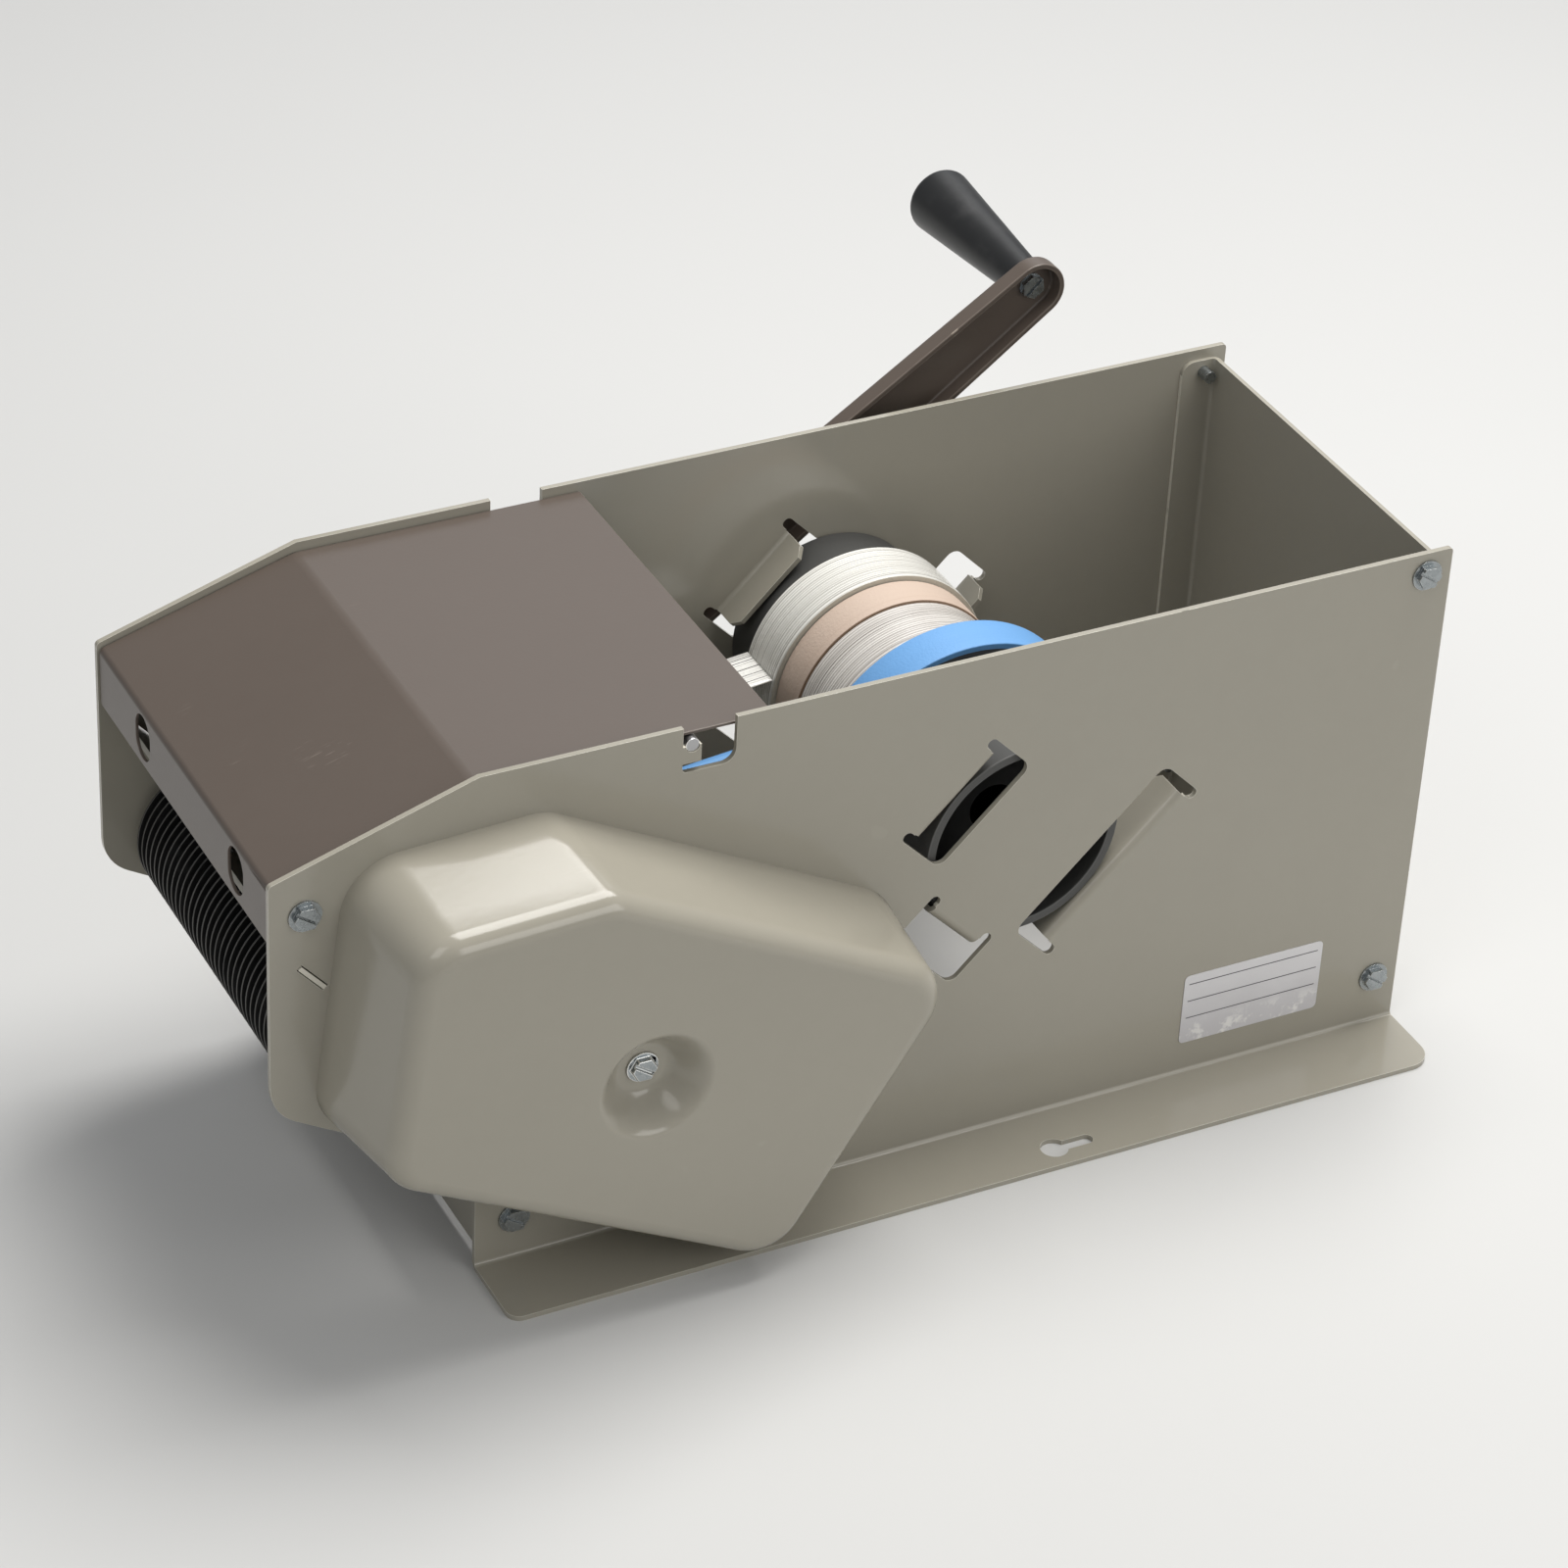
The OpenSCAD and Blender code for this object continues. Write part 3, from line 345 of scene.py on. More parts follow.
def bareMetal(name, look, centre=(0, 0, 0)):
    material, tree, shader = newFinish(name)
    vector = objectCoords(tree, centre)
    cloud = noiseNode(tree, vector, look["cloudScale"], 3.0, 0.6, (-900, 200))
    rings = useGroup(tree, turnedLines, (-900, -150), Vector=vector, Scale=look["ringScale"])
    colour = mixColour(tree, cloud, look["dark"], look["light"], (-400, 250))
    edgeHighlightAndWear = useGroup(tree, edgeHighlightAndWearGroup, (-900, -400), Vector=vector, Amount=look["highlightAndWear"])
    # painted highlight: near-white colour on the bevelled edges
    colour = mixColour(tree, edgeHighlightAndWear.outputs["Mask"], colour, look["edge"], (-150, 200))
    tree.links.new(colour, shader.inputs["Base Color"])
    shader.inputs["Metallic"].default_value = look["metallic"]
    rough = mathNode(tree, "MULTIPLY_ADD", cloud, look["roughSpread"], look["rough"], (-300, -50))
    tree.links.new(rough, shader.inputs["Roughness"])
    bumpTo(tree, shader, rings.outputs["Rings"], look["bump"], 0.0001)
    return material


# edge is a painted highlight on the bevelled edges, and every metal below takes it
zincLook = {"dark": (0.22, 0.24, 0.25), "light": (0.44, 0.47, 0.48), "edge": (0.92, 0.93, 0.92),
            "cloudScale": 420.0,
            "ringScale": 3000.0, "metallic": 0.95, "rough": 0.16, "roughSpread": 0.24, "bump": 0.25, "highlightAndWear": 0.85}
steelLook = dict(zincLook, dark=(0.33, 0.33, 0.34), light=(0.55, 0.55, 0.56), cloudScale=60.0, rough=0.22,
                 roughSpread=0.2)
bronzeLook = dict(zincLook, dark=(0.32, 0.21, 0.1), light=(0.5, 0.36, 0.18), cloudScale=150.0, rough=0.35,
                  roughSpread=0.2)
alloyLook = dict(zincLook, dark=(0.45, 0.46, 0.47), light=(0.6, 0.61, 0.62), cloudScale=90.0, rough=0.32,
                 roughSpread=0.18)
darkSteelLook = dict(zincLook, dark=(0.07, 0.07, 0.075), light=(0.16, 0.16, 0.17), cloudScale=200.0, rough=0.35)
zincPlate = bareMetal("zincPlate", zincLook)
turnedSteel = bareMetal("turnedSteel", steelLook)
sinteredBronze = bareMetal("sinteredBronze", bronzeLook)
castAlloy = bareMetal("castAlloy", alloyLook)
blackenedSteel = bareMetal("blackenedSteel", darkSteelLook)


def darkPlastic(name, look, centre=(0, 0, 0)):
    material, tree, shader = newFinish(name)
    vector = objectCoords(tree, centre)
    cloud = noiseNode(tree, vector, look["cloudScale"], 4.0, 0.6, (-900, 250))
    grain = noiseNode(tree, vector, look["grainScale"], 2.0, 0.5, (-900, 0))
    dust = rampNode(tree, cloud, *look["dustStep"], (-650, 250))
    colour = mixColour(tree, mathNode(tree, "MULTIPLY", dust, look["dustAmount"], place=(-450, 250)),
                       look["colour"], look["dust"], (-250, 250))
    edgeHighlightAndWear = useGroup(tree, edgeHighlightAndWearGroup, (-900, -300), Vector=vector, Amount=look["highlightAndWear"])
    edgeHighlightAndWear.inputs["Scale"].default_value = look["highlightAndWearScale"]
    # lighter edges: partly wear, partly a painted highlight
    colour = mixColour(tree, edgeHighlightAndWear.outputs["Mask"], colour, look["edge"], (0, 200))
    tree.links.new(colour, shader.inputs["Base Color"])
    tree.links.new(mathNode(tree, "MULTIPLY_ADD", cloud, look["roughSpread"], look["rough"], (-250, 0)),
                   shader.inputs["Roughness"])
    bumpTo(tree, shader, grain, look["bump"], 0.0001)
    return material


# edge is the lighter edge colour: partly wear, partly a painted highlight
knobLook = {"colour": (0.012, 0.0125, 0.013), "dust": (0.05, 0.05, 0.05), "edge": (0.07, 0.07, 0.07),
            "dustAmount": 0.5,
            "cloudScale": 70.0, "grainScale": 1500.0, "rough": 0.28, "roughSpread": 0.2, "bump": 0.18,
            "highlightAndWear": 0.4, "highlightAndWearScale": 60.0,
            "dustStep": (0.5, 0.85)}
finLook = dict(knobLook, colour=(0.008, 0.008, 0.008), edge=(0.1, 0.096, 0.088), rough=0.38, highlightAndWear=1.0,
               cloudScale=90.0)
rubberLook = dict(knobLook, colour=(0.014, 0.014, 0.014), rough=0.55, bump=0.35, highlightAndWear=0.2)
mandrelLook = dict(knobLook, colour=(0.062, 0.062, 0.059), dust=(0.1, 0.1, 0.095), edge=(0.14, 0.14, 0.135),
                   rough=0.4,
                   cloudScale=30.0, bump=0.15)
knobPlastic = darkPlastic("knobPlastic", knobLook)
finPlastic = darkPlastic("finPlastic", finLook)
blackRubber = darkPlastic("blackRubber", rubberLook)
mandrelPlastic = darkPlastic("mandrelPlastic", mandrelLook)


# values that every tape shares; lengths in metres
tapeShape = {"sideStep": (0.6, 0.9), "inkStep": (0.00022, 0.00012), "cloudScale": 60.0, "roughSpread": 0.15,
             "layerBump": 0.5, "bumpDepth": 0.0003, "coatRough": 0.2}


def tapeFinish(name, look, centre):
    # wound tape: strands or crepe round the outside, layer rings on the sides
    material, tree, shader = newFinish(name)
    vector = objectCoords(tree, centre)
    parts = newNode(tree, "ShaderNodeSeparateXYZ", (-1000, 300))
    tree.links.new(vector, parts.inputs[0])
    strands = useGroup(tree, strandLines, (-800, 350), Along=parts.outputs["Y"])
    strands.inputs["Fine Scale"].default_value = look["fineScale"]
    strands.inputs["Coarse Scale"].default_value = look["coarseScale"]
    rings = useGroup(tree, turnedLines, (-800, -50), Vector=vector, Scale=look["ringScale"])
    geometry = newNode(tree, "ShaderNodeNewGeometry", (-1000, -300))
    facing = newNode(tree, "ShaderNodeSeparateXYZ", (-800, -300))
    tree.links.new(geometry.outputs["Normal"], facing.inputs[0])
    side = mathNode(tree, "ABSOLUTE", facing.outputs["Y"], place=(-600, -300))
    side = rampNode(tree, side, *tapeShape["sideStep"], (-450, -300))
    strands.inputs["Laid Scale"].default_value = look["laidScale"]
    weave = mathNode(tree, "MULTIPLY", strands.outputs["Laid"], look["laidAmount"], place=(-600, 550))
    weave = mathNode(tree, "MULTIPLY_ADD", strands.outputs["Coarse"], 1 - look["laidAmount"], weave, (-600, 400))
    outside = mixColour(tree, weave, look["dark"], look["light"], (-450, 400))
    bright = mathNode(tree, "MULTIPLY", strands.outputs["Fine"], look["fineAmount"], place=(-450, 600))
    outside = mixColour(tree, bright, outside, look["glint"], (-250, 400))
    dull = mathNode(tree, "MULTIPLY", strands.outputs["Dark Line"], look["lineAmount"], place=(-250, 600))
    outside = mixColour(tree, dull, outside, look["line"], (-50, 400))
    wound = mixColour(tree, rings.outputs["Rings"], look["sideDark"], look["sideLight"], (-250, 100))
    colour = mixColour(tree, side, outside, wound, (150, 300))
    for i, at in enumerate(look.get("blackLines", ())):
        y = 800 + 80 * i
        away = mathNode(tree, "SUBTRACT", parts.outputs["Y"], at * mm, place=(-450, y))
        away = mathNode(tree, "ABSOLUTE", away, place=(-250, y))
        inked = rampNode(tree, away, *tapeShape["inkStep"], (-50, y))
        colour = mixColour(tree, inked, colour, look["ink"], (200, 500 + 40 * i))
    tree.links.new(colour, shader.inputs["Base Color"])
    cloud = noiseNode(tree, vector, tapeShape["cloudScale"], 3.0, 0.6, (-800, -600))
    rough = mathNode(tree, "MULTIPLY_ADD", cloud, tapeShape["roughSpread"], look["rough"], (-300, -500))
    tree.links.new(rough, shader.inputs["Roughness"])
    crepe = noiseNode(tree, vector, look["crepeScale"], 3.0, 0.6, (-800, -800))
    height = mathNode(tree, "ADD", mathNode(tree, "MULTIPLY", weave, look["strandBump"], place=(-450, -700)),
                      mathNode(tree, "MULTIPLY", crepe, look["crepeBump"], place=(-450, -850)),
                      place=(-250, -750))
    layers = mathNode(tree, "MULTIPLY", rings.outputs["Rings"], side, place=(-250, -950))
    height = mathNode(tree, "MULTIPLY_ADD", layers, tapeShape["layerBump"], height, (-50, -800))
    bumpTo(tree, shader, height, look["bump"], tapeShape["bumpDepth"])
    shader.inputs["Coat Weight"].default_value = look["coat"]
    shader.inputs["Coat Roughness"].default_value = tapeShape["coatRough"]
    return material


mandrelLow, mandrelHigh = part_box("mandrel_tube")
mandrelAxis = (mandrelLow + mandrelHigh) / 2
whiteLook = {"light": (0.92, 0.91, 0.86), "dark": (0.46, 0.45, 0.4), "glint": (0.93, 0.92, 0.9),
             "line": (0.16, 0.14, 0.12), "sideDark": (0.42, 0.39, 0.31), "sideLight": (0.7, 0.68, 0.6),
             "fineScale": 2100.0, "coarseScale": 1000.0, "fineAmount": 0.45, "lineAmount": 0.6,
             "ringScale": 5200.0, "rough": 0.2, "crepeScale": 900.0, "strandBump": 1.0, "crepeBump": 0.0,
             "bump": 0.5, "coat": 0.5, "laidScale": 5200.0, "laidAmount": 0.7}
clearLook = dict(whiteLook, light=(0.82, 0.79, 0.74), dark=(0.24, 0.2, 0.165), glint=(0.94, 0.93, 0.92),
                 fineScale=2300.0,
                 coarseScale=1150.0, lineAmount=0.8)
tanLook = dict(whiteLook, light=(0.59, 0.47, 0.385), dark=(0.53, 0.41, 0.33), glint=(0.65, 0.54, 0.45),
               line=(0.42, 0.29, 0.21),
               sideDark=(0.22, 0.13, 0.08), sideLight=(0.42, 0.29, 0.2), fineAmount=0.2, lineAmount=0.15,
               fineScale=700.0,
               coarseScale=160.0, strandBump=0.1, crepeBump=1.0, rough=0.5, coat=0.0, laidAmount=0.0)
blueLook = dict(tanLook, light=(0.15, 0.36, 0.68), dark=(0.125, 0.32, 0.63), glint=(0.2, 0.42, 0.74),
                line=(0.09, 0.26, 0.55),
                sideDark=(0.1, 0.29, 0.6), sideLight=(0.14, 0.36, 0.7), rough=0.42)
whiteTape = tapeFinish("whiteFilamentTape", whiteLook, mandrelAxis)
clearTape = tapeFinish("clearFilamentTape", clearLook, mandrelAxis)
tanTape = tapeFinish("tanCrepeTape", tanLook, mandrelAxis)
blueTape = tapeFinish("blueTape", blueLook, mandrelAxis)
boardLook = dict(tanLook, light=(0.3, 0.24, 0.17), dark=(0.22, 0.17, 0.12), sideDark=(0.2, 0.15, 0.1),
                 sideLight=(0.36, 0.29, 0.21),
                 ringScale=2500.0, rough=0.7)
coreBoard = tapeFinish("coreBoard", boardLook, mandrelAxis)
darkCore = tapeFinish("darkCore", dict(boardLook, light=(0.06, 0.062, 0.066), dark=(0.03, 0.032, 0.036),
                                       glint=(0.09, 0.09, 0.095),
                                       line=(0.02, 0.02, 0.022), sideDark=(0.02, 0.024, 0.03),
                                       sideLight=(0.1, 0.105, 0.115),
                                       rough=0.45), mandrelAxis)


# ---- the printed plate: silver, with plain rules and a rubbed patch, no lettering
labelPlate = {"rules": (0.37, 0.62, 0.87), "ruleWidth": 0.0004, "silver": (0.66, 0.65, 0.67),
              "shade": (0.56, 0.55, 0.57),
              "ink": (0.05, 0.05, 0.055), "rubbed": (0.82, 0.81, 0.8), "cloudScale": 70.0, "fade": 0.35,
              "marginStep": (0.0018, 0.0021), "rubScale": 120.0, "rubStep": (0.5, 0.62),
              "rubHeights": (0.012, 0.004),
              "metallic": 0.25, "rough": 0.26, "roughSpread": 0.2}


def makeLabelFinish():
    material, tree, shader = newFinish("printedPlate")
    low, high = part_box("label_plate")
    vector = objectCoords(tree)
    parts = newNode(tree, "ShaderNodeSeparateXYZ", (-1000, 200))
    tree.links.new(vector, parts.inputs[0])
    cloud = noiseNode(tree, vector, labelPlate["cloudScale"], 4.0, 0.6, (-1000, -100))
    colour = mixColour(tree, cloud, labelPlate["shade"], labelPlate["silver"], (-700, 200))
    fade = rampNode(tree, parts.outputs["Z"], low.z, high.z, (-900, 450))
    fade = mathNode(tree, "MULTIPLY", fade, labelPlate["fade"], place=(-700, 450))
    colour = mixColour(tree, fade, colour, labelPlate["rubbed"], (-500, 250))
    start, end = labelPlate["marginStep"]
    left = rampNode(tree, parts.outputs["X"], low.x + start, low.x + end, (-900, 700))
    right = rampNode(tree, parts.outputs["X"], high.x - start, high.x - end, (-900, 900))
    inner = mathNode(tree, "MULTIPLY", left, right, place=(-700, 800))
    for i, share in enumerate(labelPlate["rules"]):
        at = low.z + share * (high.z - low.z)
        y = -200 - 60 * i
        away = mathNode(tree, "SUBTRACT", parts.outputs["Z"], at, place=(-700, y))
        away = mathNode(tree, "ABSOLUTE", away, place=(-500, y))
        line = rampNode(tree, away, labelPlate["ruleWidth"] * 0.6, labelPlate["ruleWidth"] * 0.4, (-300, y))
        line = mathNode(tree, "MULTIPLY", line, inner, place=(-150, y))
        colour = mixColour(tree, line, colour, labelPlate["ink"], (-100 + 60 * i, 250))
    rub = noiseNode(tree, vector, labelPlate["rubScale"], 3.0, 0.7, (-900, -500))
    rub = rampNode(tree, rub, *labelPlate["rubStep"], (-700, -500))
    heights = [low.z + height for height in labelPlate["rubHeights"]]
    lowPart = rampNode(tree, parts.outputs["Z"], *heights, (-700, -700))
    rub = mathNode(tree, "MULTIPLY", rub, lowPart, place=(-500, -600))
    colour = mixColour(tree, rub, colour, labelPlate["rubbed"], (150, 200))
    tree.links.new(colour, shader.inputs["Base Color"])
    shader.inputs["Metallic"].default_value = labelPlate["metallic"]
    rough = mathNode(tree, "MULTIPLY_ADD", cloud, labelPlate["roughSpread"], labelPlate["rough"], (0, -200))
    tree.links.new(rough, shader.inputs["Roughness"])
    bumpTo(tree, shader, cloud, 0.05, 0.0002)
    return material


printedPlate = makeLabelFinish()
print("finishes made")


# ---- pieces
def addPiece(name, bm, body, finish, nodes=(), sharp=32, weighted=True):
    mesh = bpy.data.meshes.new(name)
    bm.to_mesh(mesh)
    bm.free()
    mesh.materials.append(finish)
    mesh.shade_smooth()
    mesh.set_sharp_from_angle(angle=math.radians(sharp))
    piece = bpy.data.objects.new(name, mesh)
    scene.collection.objects.link(piece)
    if weighted:
        even = piece.modifiers.new("evenShading", "WEIGHTED_NORMAL")
        even.keep_sharp = True
    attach(piece, body)
    if nodes:
        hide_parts(*nodes)
    return piece


# how sharp edges are broken: lengths in mm, angles in degrees
brokenEdges = {"segments": 2, "angle": 30, "foldAngle": 8, "flatAngle": 0.7, "merge": 0.003, "cutThickness": 1.7}


def edgeAngle(edge):
    return edge.calc_face_angle(0) if len(edge.link_faces) == 2 else 0


def markEdge(bm, faces):
    layer = bm.loops.layers.float.get("edge") or bm.loops.layers.float.new("edge")
    for face in faces:
        if face.is_valid:
            for loop in face.loops:
                loop[layer] = 1.0


def roundOff(bm, edges, width, segments):
    made = bmesh.ops.bevel(bm, geom=edges, offset=width, offset_type="OFFSET", segments=segments, profile=0.5,
                           affect="EDGES", material=-1, clamp_overlap=True, loop_slide=True)
    return made["faces"]


def cutFaces(bm, broken):
    # narrow faces between two broken edges: the cut thickness of a sheet
    broken = {face for face in broken if face.is_valid}
    found = []
    for face in bm.faces:
        longest = max(face.edges, key=lambda edge: edge.calc_length())
        narrow = face.calc_area() < brokenEdges["cutThickness"] * mm * longest.calc_length()
        if narrow and broken.intersection(longest.link_faces):
            found.append(face)
    return found


def softened(node, name, finish, width, folds=()):
    # a copy of the node with its sharp edges broken, as sheet and turned parts have
    bm = bmesh.new()
    bm.from_mesh(frame["nodes"][node].data)
    bmesh.ops.remove_doubles(bm, verts=bm.verts, dist=brokenEdges["merge"] * mm)
    flat = math.radians(brokenEdges["flatAngle"])
    bmesh.ops.dissolve_limit(bm, angle_limit=flat, verts=bm.verts, edges=bm.edges)
    fold, sharp = math.radians(brokenEdges["foldAngle"]), math.radians(brokenEdges["angle"])
    for test, foldWidth, foldSegments in folds:
        chosen = [e for e in bm.edges if edgeAngle(e) > fold and test(e)]
        roundOff(bm, chosen, foldWidth * mm, foldSegments)
    edges = [e for e in bm.edges if edgeAngle(e) > sharp]
    made = roundOff(bm, edges, width * mm, brokenEdges["segments"])
    # mark the broken edges, which the finishes lighten, partly as wear and partly as a painted highlight
    markEdge(bm, made)
    if finish in (beigeEnamel, brownEnamel):
        markEdge(bm, cutFaces(bm, made))
    return addPiece(name, bm, nodeBody[node], finish, (node,))


softJobs = [
    # node, piece, finish, slot, width of the broken edge in mm
    ("side_panel_near", "nearPanel", beigeEnamel, "beige_paint", 0.42),
    ("side_panel_far", "farPanel", beigeEnamel, "beige_paint", 0.42),
    ("rear_panel", "rearPanel", beigeEnamel, "beige_paint", 0.4),
    ("base_brace", "footBrace", beigeEnamel, "beige_paint", 0.4),
    ("guide_plate", "tapeGuide", beigeEnamel, "beige_paint", 0.35),
    ("cutter_blade", "cutterBlade", turnedSteel, "blade_steel", 0.12),
    ("blade_screws", "bladeScrews", zincPlate, "zinc_steel", 0.25),
    ("frame_screws", "frameScrews", zincPlate, "zinc_steel", 0.36),
    ("pivot_screws", "pivotScrews", zincPlate, "zinc_steel", 0.36),
    ("pivot_nuts", "pivotNuts", zincPlate, "zinc_steel", 0.25),
    ("cover_screw", "beltCoverScrew", zincPlate, "zinc_steel", 0.36),
    ("cover_stud", "beltCoverStud", turnedSteel, "ground_steel", 0.25),
    ("rest_rod", "restRod", turnedSteel, "ground_steel", 0.3),
    ("drum_bushes", "drumBushes", sinteredBronze, "bronze", 0.2),
    ("lever_bushes", "leverBushes", sinteredBronze, "bronze", 0.2),
    ("roller_shaft", "rollerShaft", turnedSteel, "ground_steel", 0.3),
    ("roller_rings", "rollerRings", blackenedSteel, "black_oxide", 0.15),
    ("lever_shaft", "leverShaft", turnedSteel, "ground_steel", 0.4),
    ("lever_collar", "leverCollar", turnedSteel, "ground_steel", 0.4),
    ("lever_nut", "leverNut", zincPlate, "zinc_steel", 0.3),
    ("lever_stop_plate", "leverStopPlate", turnedSteel, "ground_steel", 0.3),
    ("one_way_clutch", "oneWayClutch", turnedSteel, "ground_steel", 0.3),
    ("lever_pulley", "leverPulley", castAlloy, "pulley_alloy", 0.25),
    ("lever_ring", "leverRing", blackenedSteel, "black_oxide", 0.15),
    ("knob_bolt", "knobBolt", zincPlate, "zinc_steel", 0.28),
    ("knob_nut", "knobNut", zincPlate, "zinc_steel", 0.25),
    ("drum_shaft", "drumShaft", turnedSteel, "ground_steel", 0.4),
    ("drum_core", "drumCore", blackRubber, "core_black", 0.4),
    ("drum_fins", "drumFins", finPlastic, "fin_metal", 0.22),
    ("drum_pulley", "drumPulley", castAlloy, "pulley_alloy", 0.25),
    ("drum_rings", "drumRings", blackenedSteel, "black_oxide", 0.15),
    ("drive_belt", "driveBelt", blackRubber, "black_rubber", 0.3),
    ("hold_down_roller", "holdDownRoller", blackRubber, "black_rubber", 0.5),
    ("mandrel_tube", "mandrelTube", mandrelPlastic, "hub_plastic", 0.5),
    ("mandrel_caps", "mandrelCaps", mandrelPlastic, "hub_plastic", 0.4),
    ("label_plate", "labelPlate", printedPlate, "label_film", 0.1),
]
for node, name, finish, slot, width in softJobs:
    softened(node, name, finish, width)
print("softened pieces made")

# ---- lever arm: pressed channel with a rounded back
leverArm = {"backRound": 2.2, "floorRound": 0.9, "lipRound": 0.5, "sheet": 2.0, "shaft": (-137.0, 82.0),
            "length": 264.0,
            "turn": 35.8, "holeReach": 4.5}
armLow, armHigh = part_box("lever_arm")
armTurn = math.radians(leverArm["turn"])
shaftHole = Vector(leverArm["shaft"]) * mm
boltHole = shaftHole + leverArm["length"] * mm * Vector((math.cos(armTurn), math.sin(armTurn)))


def onArmBack(edge):
    return all(v.co.y > armHigh.y - 0.0001 for v in edge.verts)


def onArmFloor(edge):
    floor = armHigh.y - leverArm["sheet"] * mm
    return all(abs(v.co.y - floor) < 0.0001 for v in edge.verts)


def isArmOutline(edge):
    # leaves out the bolt and shaft holes, which are small rounds on the back
    centre = (edge.verts[0].co + edge.verts[1].co) / 2
    return all((centre.xz - hole).length >= leverArm["holeReach"] * mm for hole in (shaftHole, boltHole))


softened("lever_arm", "leverArm", brownEnamel, leverArm["lipRound"],
         folds=((lambda e: onArmBack(e) and isArmOutline(e), leverArm["backRound"], 5),
                (lambda e: onArmFloor(e) and isArmOutline(e), leverArm["floorRound"], 3)))

# ---- lift-up cover: folds with a real bend radius, edges just broken
# foldLength: the shortest edge that counts as a fold; foldsWithin: how far back the folds go;
# lipReach and lipHeight: the box round the lip's own lower edge, which stays sharp
topCover = {"foldRound": 1.9, "edge": 0.3, "foldLength": 130.0, "foldsWithin": 100.0, "lipReach": 3.0,
            "lipHeight": 10.0}
coverLow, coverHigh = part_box("top_cover")


def alongFold(edge):
    a, b = edge.verts[0].co, edge.verts[1].co
    return abs(a.y - b.y) > topCover["foldLength"] * mm and max(abs(a.x - b.x), abs(a.z - b.z)) < 0.0002


def outerFold(edge):
    mid = (edge.verts[0].co + edge.verts[1].co) / 2
    if not alongFold(edge) or mid.x > coverLow.x + topCover["foldsWithin"] * mm:
        return False
    return mid.z >= coverLow.z + topCover["lipHeight"] * mm or mid.x >= coverLow.x + topCover["lipReach"] * mm


softened("top_cover", "topCover", brownEnamel, topCover["edge"],
         folds=((outerFold, topCover["foldRound"], 5),))
print("lever arm and lift-up cover made")

# ---- belt cover: deep-drawn shell with five drafted sides and a dimple round its screw
beltCover = {"sides": ((172.9, 101.4, 93.9), (92.6, 88.3, 80.9), (62.0, 67.0, 63.5), (-32.6, 94.8, 91.3),
                       (242.0, 62.0, 58.5)),
             "cornerRound": 22.0, "rimRound": 18.5, "cornerSteps": 14, "edgeRound": 8.0, "edgeSteps": 9,
             "sideSteps": 6,
             "wall": 1.4, "dimpleTop": 21.5, "dimpleFloor": 8.6, "dimpleDepth": 12.0, "dimpleSteps": 14,
             "floorStep": 0.02,
             "floorInset": 2.0, "screwHole": 2.7, "roundSteps": 64}


def coverOutline(share, inset):
    # corner points at a share of the way from the panel to the rim, moved in by the inset
    look = beltCover
    bend = look["cornerRound"] + (look["rimRound"] - look["cornerRound"]) * share
    points = []
    for i, (turn, foot, rim) in enumerate(look["sides"]):
        nextTurn, nextFoot, nextRim = look["sides"][(i + 1) % len(look["sides"])]
        reach, nextReach = foot + (rim - foot) * share - bend, nextFoot + (nextRim - nextFoot) * share - bend
        a, b = math.radians(turn), math.radians(nextTurn)
        x = (reach * math.sin(b) - nextReach * math.sin(a)) / math.sin(b - a)
        z = (nextReach * math.cos(a) - reach * math.cos(b)) / math.sin(b - a)
        sweep = (nextTurn - turn + 180) % 360 - 180
        for k in range(look["cornerSteps"] + 1):
            c = math.radians(turn + sweep * k / look["cornerSteps"])
            points.append((x + (bend - inset) * math.cos(c), z + (bend - inset) * math.sin(c)))
    return points


